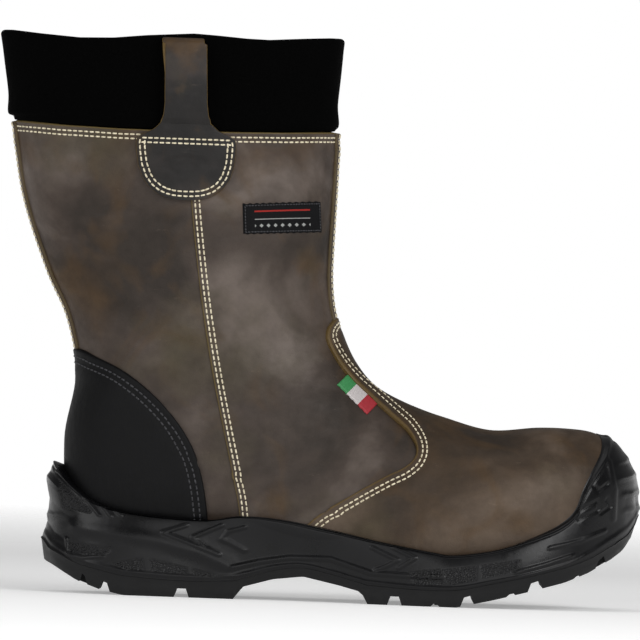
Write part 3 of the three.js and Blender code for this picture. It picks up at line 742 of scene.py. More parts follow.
def set_tone_and_painted_light(piece, points):
    """Paints the leather's tone clouds on a piece's points: warmer and cooler tone, and lighter and darker
    patches that are painted highlights and painted shade laid over its own tone.
    """
    light = np.zeros(len(points))
    warm = np.zeros(len(points))
    for row in zip(*leather_tone_and_painted_light.values()):
        along, up, reach_along, reach_up, lighter, warmer = row
        across = (points[:, 0] - in_x(along)) / reach_along
        rise = (points[:, 2] - up * shaft_height) / reach_up
        cloud = np.exp(-(across**2 + rise**2))
        light += lighter * cloud
        warm += warmer * cloud
    # The light attribute holds painted highlights and painted shade.
    set_attribute(piece, "light", light)
    set_attribute(piece, "warm", warm)


def leather_piece(name, sheet_range, edge_fields, cut_fields, outside, inside_offset, radius=0.9):
    """A leather panel cut from the last: edge fields get a rounded edge, cut fields a plain one."""
    places, triangles = whole_sheet(*sheet_range)
    for field in cut_fields:
        places, triangles, _ = split(places, triangles, field, 0)
        triangles = inside(places, triangles, field)
    edge = nearest(*edge_fields)
    for level in (0, 0.25, 0.6, 1.1, 2.2):
        places, triangles, _ = split(places, triangles, edge, level)
        if level == 0:
            triangles = inside(places, triangles, edge)
    places, triangles = tidy_sheet(places, triangles)
    base = last_point(places[:, 0], places[:, 1])
    normal = last_normal(places[:, 0], places[:, 1])
    distance = np.maximum(edge(base), 0)
    height = crease_height(base) + seam_dents(base)
    outer = base + normal * (outside - rounded(distance, radius) + height)[:, None]
    inner = base + normal * (inside_offset + height)[:, None]
    count = len(base)
    rim = outer_edges(triangles)
    walls = np.stack([rim[:, 1], rim[:, 0], rim[:, 0] + count, rim[:, 1] + count], -1)
    faces = [*triangles, *(triangles[:, ::-1] + count), *walls]
    piece = new_piece(name, np.concatenate([outer, inner]), faces)
    set_attribute(piece, "edge", np.concatenate([distance, distance * 0]))
    set_tone_and_painted_light(piece, np.concatenate([base, base]))
    return piece


def lines_on(field, level, keeps, sheet_range):
    """Chains of places on the last where a field has a level and every kept field is above zero."""
    places, triangles = whole_sheet(*sheet_range)
    for keep in keeps:
        places, triangles, _ = split(places, triangles, keep, 0)
        triangles = inside(places, triangles, keep)
    places, _, ends = split(places, triangles, field, level)
    points = last_point(places[:, 0], places[:, 1])
    key = np.round(points / 0.01).astype(np.int64)
    _, first, inverse = np.unique(key, axis=0, return_index=True, return_inverse=True)
    inverse = inverse.ravel()
    links = {}
    for a, b in inverse[ends]:
        if a != b:
            links.setdefault(a, set()).add(b)
            links.setdefault(b, set()).add(a)
    chains = []
    left = set(links)
    starts = [node for node in links if len(links[node]) == 1]
    for start in [*starts, *links]:
        if start not in left:
            continue
        chain = [start]
        left.discard(start)
        while True:
            ahead = [node for node in links[chain[-1]] if node in left]
            if not ahead:
                break
            chain.append(ahead[0])
            left.discard(ahead[0])
        if len(chain) > 3:
            if chain[0] in links[chain[-1]]:
                chain.append(chain[0])
            chains.append(places[first[chain]])
    return chains


# Stitches: one small bent bar of thread, copied along every seam.
stitch_pitch = 3.0
stitch_length = 2.45
thread_radius = 0.37
bar_along = np.array([-0.5, -0.46, -0.3, 0, 0.3, 0.46, 0.5])
bar_radius = np.array([0.25, 0.75, 1, 1.05, 1, 0.75, 0.25])
bar_rise = np.array([-0.9, -0.35, 0.3, 0.45, 0.3, -0.35, -0.9])
bar_sides = 6


def stitch_template(length, radius):
    """One stitch lying along x."""
    points = []
    for along, size, rise in zip(bar_along, bar_radius, bar_rise):
        for k in range(bar_sides):
            turn = 2 * math.pi * k / bar_sides
            across = math.cos(turn) * radius * size * 1.1
            up = math.sin(turn) * radius * size * 0.85 + rise * radius
            points.append([along * length, across, up])
    faces = ring_faces(bar_sides, len(bar_along))
    faces.append(list(range(bar_sides))[::-1])
    faces.append([(len(bar_along) - 1) * bar_sides + k for k in range(bar_sides)])
    return np.array(points), faces


class Thread:
    """Collects stitches for one joined piece."""

    def __init__(self):
        self.points = []
        self.faces = []
        self.count = 0

    def sew(self, points, normals, pitch=stitch_pitch, length=stitch_length, radius=thread_radius):
        run = np.linalg.norm(np.diff(points, axis=0), axis=1)
        travelled = np.concatenate([[0], np.cumsum(run)])
        total = travelled[-1]
        if total < pitch:
            return
        number = int(total // pitch)
        step = total / number
        template, faces = stitch_template(length * step / pitch, radius)
        for k in range(number):
            ends = [(k + 0.5) * step - step * 0.4, (k + 0.5) * step, (k + 0.5) * step + step * 0.4]
            at = np.stack([np.interp(ends, travelled, points[:, i]) for i in range(3)], -1)
            normal = np.array([np.interp(ends[1], travelled, normals[:, i]) for i in range(3)])
            ahead = unit(at[2] - at[0])
            aside = unit(np.cross(normal, ahead))
            up = np.cross(ahead, aside)
            placed_bar = at[1] + template @ np.stack([ahead, aside, up])
            self.points.append(placed_bar)
            self.faces += [[i + self.count for i in face] for face in faces]
            self.count += len(template)

    def piece(self, name):
        return new_piece(name, np.concatenate(self.points), self.faces, 60)


def sew_chains(thread, chains, outside, **sizes):
    """Stitches along chains of places on the last."""
    for places in chains:
        base = last_point(places[:, 0], places[:, 1])
        normal = last_normal(places[:, 0], places[:, 1])
        height = outside + crease_height(base) + seam_dents(base)
        thread.sew(base + normal * height[:, None], normal, **sizes)


seam_rows = (3.1, 5.3)
top_rows = (2.6, 4.8)
counter_rows = (3.6, 6.6)
strip_rows = (1.8, 4.2)


def seam_dents(points):
    """The thread draws the leather in a little along its rows."""
    dent = np.zeros(points.shape[:-1])
    middles = (
        (vamp_region, sum(seam_rows) / 2),
        (counter_region, sum(counter_rows) / 2),
        (below_top, sum(top_rows) / 2),
    )
    for field, level in middles:
        distance = field(points) - level
        dent -= 0.28 * np.exp(-((distance / 1.9) ** 2))
        dent += 0.2 * np.exp(-(((distance - 5.5) / 3) ** 2)) * (distance > -2)
    return dent


def vamp_seam(points):
    """Distance in from the vamp's edge, stretched up the tongue, where the rows run nearer to it."""
    return vamp_region(points) * (1 + 0.4 * smoothstep(points[..., 2], 92, 128))


foot_and_shaft = (0, leather_end + 0.12)

upper = leather_piece(
    "quarter_leather",
    foot_and_shaft,
    [below_top],
    [above_feather],
    0,
    -leather_thickness,
)
lining = leather_piece(
    "shaft_lining",
    foot_and_shaft,
    [lambda points: below_top(points) - 0.8],
    [above_feather],
    -leather_thickness - 0.05,
    -upper_wall,
    0.4,
)
front_panel = leather_piece(
    "front_panel",
    foot_and_shaft,
    [seam_region, below_top],
    [above_feather],
    front_panel_step,
    -0.15,
    0.7,
)
vamp = leather_piece(
    "vamp_leather",
    (0, 16.5),
    [vamp_region],
    [above_feather],
    vamp_outside,
    front_panel_step - 0.15,
    0.7,
)
counter = leather_piece(
    "heel_counter_leather",
    (8, 17),
    [counter_region],
    [above_feather],
    counter_outside,
    -0.1,
    1,
)
front_cover = leather_piece(
    "front_seam_strip",
    (11, leather_end + 0.12),
    [strip_field, below_top],
    [front_half, lambda points: -vamp_region(points) + 4],
    strip_outside,
    front_panel_step - 0.1,
    0.6,
)
back_cover = leather_piece(
    "back_seam_strip",
    (14, leather_end + 0.12),
    [strip_field, below_top],
    [back_half, lambda points: -counter_region(points) + 4],
    back_strip_outside,
    -0.1,
    0.6,
)


# Rays from beside the boot find the last's side, for what is laid out in the side view.
def last_tree(first, final):
    places, triangles = tidy_sheet(*whole_sheet(first, final))
    points = last_point(places[:, 0], places[:, 1])
    return BVHTree.FromPolygons(points.tolist(), triangles.tolist())


side_tree = last_tree(0, cuff_end)


def on_side(x, z, side):
    """The place and the outward direction of the last's side at a point of the side view."""
    hit, normal, _, _ = side_tree.ray_cast(Vector((x, side * far, z)), Vector((0, -side, 0)))
    if hit is None:
        return np.array([x, 0, z]), np.array([0, side, 0])
    normal = np.array(normal)
    if normal[1] * side < 0:
        normal = -normal
    return np.array(hit), normal


def lay_on_side(xz, side):
    pairs = [on_side(x, z, side) for x, z in xz]
    points = np.array([pair[0] for pair in pairs])
    normals = np.array([pair[1] for pair in pairs])
    return points, normals


# Pull straps: one strip of leather, its tab sewn down, its loop folded over at the top.
strap_columns = np.concatenate(
    [[-1, -0.985, -0.95, -0.88], np.linspace(-0.78, 0.78, 21), [0.88, 0.95, 0.985, 1]],
)
loop_rear = -1.1


def strap_middle(z):
    return in_x(strap_along) + (shaft_height - z) * strap_lean


def strap_half(z):
    up = (z - shaft_height) / cuff_height
    return np.interp(up, strap_shape["up"], strap_shape["half"]) * strap_width


def strap_path():
    """Height, offset of the strip's middle, and its facing, from the tab's end up and over."""
    half = strap_thickness / 2
    top = shaft_height + strap_top * cuff_height
    low = shaft_height + strap_shape["up"][0] * cuff_height
    bend = (strap_outside - loop_rear + strap_thickness) / 2 - half
    middle = (strap_outside + loop_rear - strap_thickness) / 2
    rows = []
    for share in np.linspace(0, 1, 24) ** 2:
        rows.append((low + share * 9, strap_outside - half, 0))
    for z in np.linspace(low + 9, top - bend - half, 64)[1:]:
        rows.append((z, strap_outside - half, 0))
    for turn in np.linspace(0, math.pi, 13)[1:]:
        rows.append((top - bend - half + bend * math.sin(turn), middle + bend * math.cos(turn), turn))
    for z in np.linspace(top - bend - half, shaft_height + 0.8, 20)[1:]:
        rows.append((z, loop_rear - half, math.pi))
    return rows


def pressed_oval(x, z):
    """Depth of the plain oval pressed into the tab."""
    reach = math.hypot((x - in_x(strap_along) - 0.6) / 11.5, (z - 221) / 5)
    floor = 0.55 * (1 - float(smoothstep(reach, 0.86, 1.06)))
    return floor - 0.3 * math.exp(-(((reach - 0.62) / 0.09) ** 2))


def pull_strap(name, side):
    """One strap, swept along its path, with rounded edges and a pressed tab."""
    points = []
    edges = []
    loops = []
    for z, offset, facing in strap_path():
        half_width = max(float(strap_half(z)), 0.25)
        level = min(z, shaft_height + strap_top * cuff_height)
        shown = 1.3 * float(smoothstep(z, 262, 284)) * (facing > 0)
        xs = strap_middle(z) - shown + strap_columns * half_width
        lifted = 0.5 * math.sin(math.pi * np.clip((z - 243) / 36, 0, 1)) * (facing == 0)
        base, normal = lay_on_side(np.stack([xs, xs * 0 + level], -1), side)
        out = math.cos(facing)
        up = math.sin(facing)
        direction = normal * out + np.array([0, 0, 1.0]) * up
        centre = base + normal * (offset + lifted)
        centre[:, 2] += z - level
        fall = rounded((1 - np.abs(strap_columns)) * half_width, 0.8)
        press = np.array([pressed_oval(x, z) if facing == 0 else 0 for x in xs])
        half = strap_thickness / 2
        outer = centre + direction * (half - fall - press)[:, None]
        inner = centre - direction * (half - fall * 0.5)[:, None]
        start = len(points)
        points += [*outer, *inner[::-1]]
        distance = (1 - np.abs(strap_columns)) * half_width
        edges += [*distance, *(distance[::-1] * 0)]
        loops.append(np.arange(start, len(points)))
    faces = []
    for low, high in zip(loops, loops[1:]):
        for k in range(len(low)):
            after = (k + 1) % len(low)
            faces.append([low[k], low[after], high[after], high[k]])
    faces.append(list(loops[0][::-1]))
    faces.append(list(loops[-1]))
    piece = new_piece(name, points, faces, 50)
    set_attribute(piece, "edge", edges)
    heights = np.array(points)[:, 2]
    # Painted light on the strap: a pale band near 271 mm high is a painted highlight where the strap bulges
    # towards the light, and the warmer, lighter brown over the loop's top is painted light on its upturned
    # face.
    set_attribute(piece, "light", 0.9 * np.exp(-(((heights - 271) / 6) ** 2)))
    set_attribute(piece, "warm", 0.8 * smoothstep(heights, 274, 284))
    return piece


straps = {side: pull_strap(f"pull_strap_{word}", side) for side, word in ((-1, "outside"), (1, "inside"))}

# The cuff: a soft textile tube with a slack, rounded top.
cuff_turns = 300
cuff_low = 229
cuff_folds = table("middle lean width depth", [
    [-62, 0.5, 9, 0.8],
    [-34, -0.3, 12, -0.7],
    [52, -0.4, 10, 0.7],
    [78, 0.3, 8, -0.6],
])


def cuff_top(x):
    return shaft_height + cuff_height + np.interp(x, in_x(cuff_edge["along"]), cuff_edge["rise"])


def soft_waves(x, z, side):
    """Slack folds of the textile: a few listed soft ones and a light ripple."""
    ripple = 0.22 * np.sin(x / 7.3 + 2.1 * side) * np.sin(z / 9 + x / 31)
    folds = 0
    for middle, lean, width, depth in zip(*cuff_folds.values()):
        folds = folds + depth * np.exp(-(((x - middle - lean * (z - 265)) / width) ** 2))
    rise = z - np.interp(x, in_x(leather_top["along"]), leather_top["up"] * shaft_height)
    roll = 2.9 * smoothstep(rise, 0.05, 0.9) * np.exp(-((np.maximum(rise, 0) / 9) ** 2))
    return ripple * smoothstep(z, 238, 250) + folds * smoothstep(z, 240, 262) + roll


def cuff_piece():
    """The tube: up its outside, over its rounded top and down its inside."""
    turns = np.linspace(0, 2 * math.pi, cuff_turns, endpoint=False)
    samples = np.linspace(17.5, cuff_end, 240)
    t, turn = np.meshgrid(samples, turns, indexing="ij")
    grid = last_point(t, turn)
    lip = cuff_thickness / 2
    rows = [(share, 0.0) for share in np.linspace(0, 1, 88)]
    rows += [(1, angle) for angle in np.linspace(0, math.pi, 13)[1:-1]]
    rows += [(share, math.pi) for share in np.linspace(1, -0.9, 60)]
    points = []
    for share, angle in rows:
        ring = []
        for k, place in enumerate(turns):
            top_x = np.interp(shaft_height + cuff_height, grid[:, k, 2], grid[:, k, 0])
            high = cuff_top(top_x) - lip
            z = cuff_low + share * (high - cuff_low)
            station = np.interp(z, grid[:, k, 2], samples)
            ring.append((station, place, z + lip * math.sin(angle), math.cos(angle)))
        ring = np.array(ring)
        base = last_point(ring[:, 0], ring[:, 1])
        normal = last_normal(ring[:, 0], ring[:, 1])
        normal[:, 2] = 0
        normal = unit(normal)
        side = np.where(base[:, 1] < 0, -1, 1)
        away = cuff_outside - 0.1 - lip + ring[:, 3] * lip
        away = away + soft_waves(base[:, 0], ring[:, 2], side)
        point = base + normal * away[:, None]
        point[:, 2] = ring[:, 2]
        points.append(point)
    faces = ring_faces(cuff_turns, len(points))
    closing = (len(points) - 1) * cuff_turns
    for k in range(cuff_turns):
        after = (k + 1) % cuff_turns
        faces.append([closing + k, closing + after, after, k])
    return new_piece("cuff_textile", np.concatenate(points), faces, 80)


cuff = cuff_piece()


# Small pieces sewn to the outer side.
def patch_grid(place, columns, rows, wave=0):
    """The side-view grid of a small ribbon."""
    tilt = math.radians(place["tilt"])
    a, b = np.meshgrid(np.linspace(-0.5, 0.5, columns), np.linspace(-0.5, 0.5, rows))
    a = a * place["length"]
    b = b * place["height"] + wave * np.sin(a * 1.9) * (np.abs(b) > 0.46)
    x = in_x(place["along"]) + a * math.cos(tilt) - b * math.sin(tilt)
    z = place["level"] + a * math.sin(tilt) + b * math.cos(tilt)
    return a, b, np.stack([x.ravel(), z.ravel()], -1)


def patch(name, place, columns, rows, base_offset, thickness, wave=0):
    """A small ribbon laid on the outer side."""
    a, b, xz = patch_grid(place, columns, rows, wave)
    base, normal = lay_on_side(xz, -1)
    height = crease_height(base)
    edge = np.minimum(place["length"] / 2 - np.abs(a), place["height"] / 2 - np.abs(b)).ravel()
    fall = rounded(np.maximum(edge, 0), thickness * 0.7)
    outer = base + normal * (base_offset + thickness - fall + height)[:, None]
    inner = base + normal * (base_offset + height)[:, None]
    count = columns * rows
    faces = []
    for i in range(rows - 1):
        for k in range(columns - 1):
            c = i * columns + k
            faces.append([c, c + 1, c + columns + 1, c + columns])
            faces.append([c + columns + count, c + columns + 1 + count, c + 1 + count, c + count])
    border = [*range(columns), *range(2 * columns - 1, count, columns)]
    border += [*range(count - 2, count - columns - 1, -1), *range(count - 2 * columns, 0, -columns)]
    for c, d in zip(border, border[1:] + border[:1]):
        faces.append([d, c, c + count, d + count])
    piece = new_piece(name, np.concatenate([outer, inner]), faces, 60)
    set_attribute(piece, "across", np.concatenate([a.ravel(), a.ravel()]))
    set_attribute(piece, "rise", np.concatenate([b.ravel(), b.ravel()]))
    return piece


label = patch("ribbon_label", label_place, 118, 48, front_panel_step + 0.05, 0.8, 0.25)
tag = patch("three_colour_ribbon", tag_place, 67, 23, front_panel_step + 0.05, 0.9, 0.1)

# Thread: cream on the brown leather, black on the counter.
cream = Thread()
sew_chains(cream, lines_on(vamp_seam, seam_rows[0], [above_feather], (2, 16.5)), vamp_outside)
sew_chains(cream, lines_on(vamp_seam, seam_rows[1], [above_feather], (2, 16.5)), vamp_outside)
outside_vamp = nearest(lambda points: -vamp_region(points), above_feather, below_top)
for row in (1.9, 4.1):
    keeps = [outside_vamp]
    sew_chains(cream, lines_on(seam_region, row, keeps, foot_and_shaft), front_panel_step)
for row in top_rows:
    for keep, level in ((seam_region, front_panel_step), (lambda points: -seam_region(points), 0)):
        clear_of_strips = nearest(keep, lambda points: -strip_field(points))
        sew_chains(cream, lines_on(below_top, row, [clear_of_strips], (17, leather_end + 0.12)), level)
for row in strip_rows:
    front_keeps = [front_half, nearest(lambda points: -vamp_region(points), below_top)]
    sew_chains(cream, lines_on(strip_field, row, front_keeps, (11, leather_end + 0.12)), strip_outside)
    back_keeps = [back_half, nearest(lambda points: -counter_region(points), below_top)]
    sew_chains(cream, lines_on(strip_field, row, back_keeps, (14, leather_end + 0.12)), back_strip_outside)


def tab_line(inset):
    """The stitch line inside the tab's round edge, from its top left to its top right."""
    z = np.concatenate([np.linspace(tab_stitch_tops[0], 206, 60), 206 - np.linspace(0, 1, 40) ** 0.5 * 2.7])
    left = np.stack([strap_middle(z) - strap_half(z), z], -1)
    right = np.stack([strap_middle(z) + strap_half(z), z], -1)[::-1]
    outline = np.concatenate([left, right])
    run = unit(np.gradient(outline, axis=0))
    line = outline + np.stack([-run[:, 1], run[:, 0]], -1) * inset
    centre = np.array([strap_middle(222), 222])
    flipped = np.linalg.norm(line - centre, axis=1) > np.linalg.norm(outline - centre, axis=1)
    line[flipped] = (2 * outline - line)[flipped]
    keep = (line[:, 1] < tab_stitch_tops[0] + 0.4) & (line[:, 1] > 203 + inset)
    return line[keep]


for side in (-1, 1):
    for inset in (2.1, 4.5):
        points, normals = lay_on_side(tab_line(inset), side)
        cream.sew(points + normals * strap_outside, normals)
    for z in tab_stitch_tops:
        half = float(strap_half(z)) - 2.4
        xs = np.linspace(strap_middle(z) - half, strap_middle(z) + half, 40)
        points, normals = lay_on_side(np.stack([xs, xs * 0 + z], -1), side)
        cream.sew(points + normals * strap_outside, normals)
cream_thread = cream.piece("cream_thread")

black = Thread()
for row in counter_rows:
    sew_chains(black, lines_on(counter_region, row, [above_feather], (8, 17)), counter_outside)


def label_border():
    """The stitch line inside the label's edge."""
    a = np.linspace(-0.5, 0.5, 40) * (label_place["length"] - 2)
    b = np.linspace(-0.5, 0.5, 16) * (label_place["height"] - 2)
    half_a = a[-1]
    half_b = b[-1]
    corners = [
        np.stack([a, a * 0 + half_b], -1),
        np.stack([b * 0 + half_a, b[::-1]], -1),
        np.stack([a[::-1], a * 0 - half_b], -1),
        np.stack([b * 0 - half_a, b], -1),
    ]
    loop = np.concatenate(corners)
    tilt = math.radians(label_place["tilt"])
    turn = np.array([[math.cos(tilt), math.sin(tilt)], [-math.sin(tilt), math.cos(tilt)]])
    return loop @ turn + np.array([in_x(label_place["along"]), label_place["level"]])


points, normals = lay_on_side(label_border(), -1)
black.sew(points + normals * (front_panel_step + 0.9), normals, 1.6, 1.3, 0.28)
black_thread = black.piece("black_thread")


# The moulded cup: columns round the sole, each rising from the tread to its edge on the leather.
def outline_points():
    """The sole's outline at even steps, and the way out at each."""
    outer_x = in_x(sole_outline["along"])
    loop_x = np.concatenate([outer_x, outer_x[1:-1][::-1]])
    loop_y = np.concatenate([-sole_outline["outer"], sole_outline["inner"][1:-1][::-1]]) * sole_width
    count = len(loop_x)
    wrapped_x = np.concatenate([loop_x[-1:], loop_x, loop_x[:3]])
    wrapped_y = np.concatenate([loop_y[-1:], loop_y, loop_y[:3]])
    t = 1 + np.arange(count * outline_steps) / outline_steps
    line = np.stack([smooth_at(wrapped_x, t), smooth_at(wrapped_y, t)], -1)
    closed = np.concatenate([line, line[:1]])
    travelled = np.concatenate([[0], np.cumsum(np.linalg.norm(np.diff(closed, axis=0), axis=1))])
    even = np.linspace(0, travelled[-1], count * outline_steps, endpoint=False)
    line = np.stack([np.interp(even, travelled, closed[:, i]) for i in range(2)], -1)
    run = unit(np.roll(line, -1, 0) - np.roll(line, 1, 0))
    return line, np.stack([run[:, 1], -run[:, 0]], -1)


def ground_at(x):
    """Height of the tread's underside."""
    return np.interp(share_of_sole(x), tread_profile["along"], tread_profile["ground"]) * heel_height


def parting_at(x):
    """Height of the line where the tread meets the cup."""
    t = np.interp(share_of_sole(x), tread_profile["along"], np.arange(len(tread_profile["along"])))
    return smooth_at(tread_profile["parting"], t) * heel_height


sole_line, sole_out = outline_points()
cup_line = smooth_line(cup_edge["along"], cup_edge["up"], instep_height, 4)
heel_centre = in_x(0.14)
toe_centre = in_x(0.79)
ray_height = 12
lowest_ray = -0.4
highest_ray = 1.35
ray_halvings = 13
edge_stand = 0.45
heel_swell_end = 0.09
ray_tree = last_tree(0, leather_end)


def to_last(origin, direction):
    """Distance from inside the last to its surface."""
    hit, _, _, distance = ray_tree.ray_cast(Vector(origin), Vector(direction))
    return distance if hit is not None else 0


def edge_reach(x):
    """How far from the last the cup's edge stands on the leather."""
    rest = np.interp(share_of_sole(x), leather_under_cup["along"], leather_under_cup["out"])
    return float(rest) + edge_stand


def below_cup_edge(x, z):
    """Whether a place in the side view lies under the cup's edge."""
    outline = np.concatenate([cup_line, [[cup_line[-1, 0], -far], [cup_line[0, 0], -far]]])
    a = outline
    b = np.roll(outline, -1, 0)
    crosses = (a[:, 1] > z) != (b[:, 1] > z)
    rise = np.where(b[:, 1] == a[:, 1], 1, b[:, 1] - a[:, 1])
    at = a[:, 0] + (z - a[:, 1]) / rise * (b[:, 0] - a[:, 0])
    within = (crosses & (x < at)).sum() % 2 == 1
    return within


def ray_start(x):
    """The place inside the last that a column's rays start from."""
    start_x = min(max(x, heel_centre), toe_centre)
    return np.array([start_x, 0, float(feather_height(start_x)) + ray_height])


def cup_column(x, y):
    """The ray that meets the cup's edge above one place of the sole's outline."""
    origin = ray_start(x)
    heading = unit(np.array([x - origin[0], y]))

    def aim(rise):
        return np.array([heading[0] * math.cos(rise), heading[1] * math.cos(rise), math.sin(rise)])

    low, high = lowest_ray, highest_ray
    for _ in range(ray_halvings):
        middle = (low + high) / 2
        way = aim(middle)
        hit = origin + way * (to_last(origin, way) + edge_reach(x))
        if below_cup_edge(hit[0], hit[2]):
            low = middle
        else:
            high = middle
    return origin, aim, low


def wall_relief(points):
    """Height of the moulded relief at places of the cup's side, and where it is stippled."""
    xz = flat(points)
    height = np.zeros(len(points))
    for k in range(len(side_lines["width"])):
        row = {name: values[k] for name, values in side_lines.items()}
        corners = np.array([[row[f"x{i}"], row[f"z{i}"]] for i in range(1, 5)])
        t = np.linspace(0, 3, 13)
        line = np.stack([np.interp(t, range(4), corners[:, i]) for i in range(2)], -1)
        near = np.full(len(points), 1e9)
        for a, b in zip(line, line[1:]):
            near = np.minimum(near, segment_distance(xz, a, b)[0])
        profile = smoothstep(-near, -row["width"], -row["width"] * 0.25)
        height = np.where(np.abs(profile * row["height"]) > np.abs(height), profile * row["height"], height)
    mask = np.zeros(len(points))
    for k in range(len(stippled["x1"])):
        corners = np.array([[stippled[f"x{i}"][k], stippled[f"z{i}"][k]] for i in range(1, 5)])
        within, near = inside_outline(xz, corners)
        inward = np.where(within, near, 0)
        mask = np.maximum(mask, smoothstep(inward, 0.1, 1))
        height -= 0.6 * smoothstep(inward, 0, 1.2)
    swell_line = np.stack([swell["x"], swell["z"]], -1)
    near = np.full(len(points), 1e9)
    for a, b in zip(swell_line, swell_line[1:]):
        near = np.minimum(near, segment_distance(xz, a, b)[0])
    height += 1.1 * np.exp(-((near / 3.6) ** 2))
    along = share_of_sole(xz[:, 0])
    for k in range(len(toe_ribs["height"])):
        tilt = 0.12 * np.abs(points[:, 1])
        rise = xz[:, 1] - toe_ribs["height"][k] + tilt
        saw = np.exp(-((np.minimum(rise, 0) / 1.1) ** 2))
        saw = saw * np.exp(-((np.maximum(rise, 0) / toe_ribs["width"][k]) ** 2))
        start = toe_ribs["along"][k]
        height += toe_ribs["depth"][k] * saw * smoothstep(along, start, start + 0.012)
    for k in range(len(heel_waves["height"])):
        rise = xz[:, 1] - heel_waves["height"][k]
        wave = np.exp(-((rise / heel_waves["width"][k]) ** 2) * 2)
        height += heel_waves["depth"][k] * wave * smoothstep(-along, -heel_waves["along"][k], 0.005)
    return height, mask


def cup_piece():
    """The cup's side wall, closed above and below."""
    up = np.linspace(0, 1, cup_levels)
    walls = []
    for (x, y), out in zip(sole_line, sole_out):
        origin, aim, edge_rise = cup_column(x, y)
        edge_way = aim(edge_rise)
        edge_rim = edge_reach(x)
        edge = origin + edge_way * (to_last(origin, edge_way) + edge_rim)
        base = float(parting_at(x))
        tall = edge[2] - base
        toe = float(smoothstep(x, in_x(0.86), in_x(0.93)))
        column = []
        for share in up:
            blend = float(smoothstep(share, 0.1, 0.95))
            wall = np.array([x, y, base + share * tall])
            low_rise = min(edge_rise, 0)
            way = aim(low_rise + (edge_rise - low_rise) * share)
            below = (1 - share) * tall
            rim = edge_rim + (cup_rim + 0.5 - edge_rim) * float(smoothstep(below, 0, 2.4 + 2.6 * toe))
            rim += 0.6 * (1 - toe) * float(smoothstep(below, 5, 16))
            shell = origin + way * (to_last(origin, way) + rim)
            point = wall * (1 - blend) + shell * blend
            direction = unit(point - origin)
            least = to_last(origin, direction) + rim
            if np.linalg.norm(point - origin) < least:
                point = origin + direction * least
            way_out = unit(np.array([out[0], out[1], 0]) * (1 - blend) + direction * blend)
            column.append((point, way_out, share, below))
        walls.append(column)
    count = len(walls)
    points = np.array([[entry[0] for entry in column] for column in walls]).reshape(-1, 3)
    ways = np.array([[entry[1] for entry in column] for column in walls]).reshape(-1, 3)
    shares = np.array([[entry[2] for entry in column] for column in walls]).ravel()
    below = np.array([[entry[3] for entry in column] for column in walls]).ravel()
    relief, mask = wall_relief(points)
    quiet = smoothstep(below, 2.6, 4.6) * smoothstep(shares, 0.02, 0.08)
    lip = 0.7 * np.exp(-(((below - 3) / 0.8) ** 2)) - 0.4 * np.exp(-(((below - 5) / 0.9) ** 2))
    foot_bead = 0.5 * np.exp(-(((shares - 0.07) / 0.035) ** 2))
    at_heel = 1 - smoothstep(np.repeat(sole_line[:, 0], cup_levels), in_x(0), in_x(heel_swell_end))
    swelling = np.interp(shares, heel_swell["up"], heel_swell["out"]) * at_heel
    points = points + ways * (relief * quiet + lip + foot_bead + swelling)[:, None]
    levels = cup_levels
    faces = []
    for j in range(count):
        after = (j + 1) % count
        for i in range(levels - 1):
            a = j * levels + i
            b = after * levels + i
            faces.append([a, b, b + 1, a + 1])
    inner = []
    for column in range(count):
        top = points[column * levels + levels - 1]
        origin = ray_start(sole_line[column][0])
        inner.append(top + unit(origin - top) * 2.6 + np.array([0, 0, -1.2]))
    start = len(points)
    for j in range(count):
        after = (j + 1) % count
        faces.append([j * levels + levels - 1, after * levels + levels - 1, start + after, start + j])
    points = np.concatenate([points, inner])
    bottom = np.arange(count) * levels
    ring = start + np.arange(count)
    half = count // 2
    for j in range(half):
        c, d = (count - j) % count, count - j - 1
        faces.append(
            [bottom[j], bottom[c], bottom[d], bottom[j + 1]] if j else [bottom[0], bottom[d], bottom[1]],
        )
        faces.append([ring[j], ring[j + 1], ring[d], ring[c]] if j else [ring[0], ring[1], ring[d]])
    faces = [f for f in faces if len(set(f)) == len(f)]
    piece = new_piece("moulded_cup", points, faces, 60)
    set_attribute(piece, "stipple", np.concatenate([mask * quiet, np.zeros(len(inner))]))
    return piece


cup = cup_piece()


# The tread: a layer under the cup with bevelled lugs.
tread_bevel = 1.6
lug_depth = 4.5
groove_flare = 0.8
channel_width = 3.5
channel_depth = 3.6
channel_roof = 1.4
middle_half = 15


def tread_block():
    """The tread's solid layer before its grooves are cut."""
    line = sole_line[::3]
    out = sole_out[::3]
    profile = (
        (tread_bevel + 0.7, 0), (tread_bevel + 0.1, 0.7), (0.7, 0.55), (0.15, 0.86), (-0.35, 0.95), (0.1, 1),
    )
    points = []
    ground = ground_at(line[:, 0])
    parting = parting_at(line[:, 0]) + 0.1
    for index, (inset, rise) in enumerate(profile):
        place = line - out * inset
        height = ground + (0.7 if index == 1 else rise * (parting - ground))
        points.append(np.stack([place[:, 0], place[:, 1], height], -1))
    count = len(line)
    faces = ring_faces(count, len(profile))
    top = (len(profile) - 1) * count
    for j in range(count // 2):
        c, d = (count - j) % count, count - j - 1
        low = [j, c, d, j + 1]
        high = [top + j, top + j + 1, top + d, top + c]
        faces.append(list(dict.fromkeys(low)))
        faces.append(list(dict.fromkeys(high)))
    faces = [f for f in faces if len(f) > 2]
    return new_piece("tread", np.concatenate(points), faces, 30)


def prism(name, outline, from_y, to_y):
    """A side-view outline pushed across the boot between two places."""
    count = len(outline)
    points = [[x, from_y, z] for x, z in outline] + [[x, to_y, z] for x, z in outline]
    faces = [list(range(count)), list(range(count, 2 * count))[::-1]]
    faces += [[(k + 1) % count, k, k + count, (k + 1) % count + count] for k in range(count)]
    return new_piece(name, points, faces, 30)


def groove_outline(start, end, depth):
    """A flared groove in the side view."""
    a = in_x(start)
    b = in_x(end)
    rise = depth * lug_depth
    return [
        [a - groove_flare, -30],
        [b + groove_flare, -30],
        [b + groove_flare, float(ground_at(b))],
        [b - groove_flare, float(ground_at(b)) + rise],
        [a + groove_flare, float(ground_at(a)) + rise],
        [a - groove_flare, float(ground_at(a))],
    ]


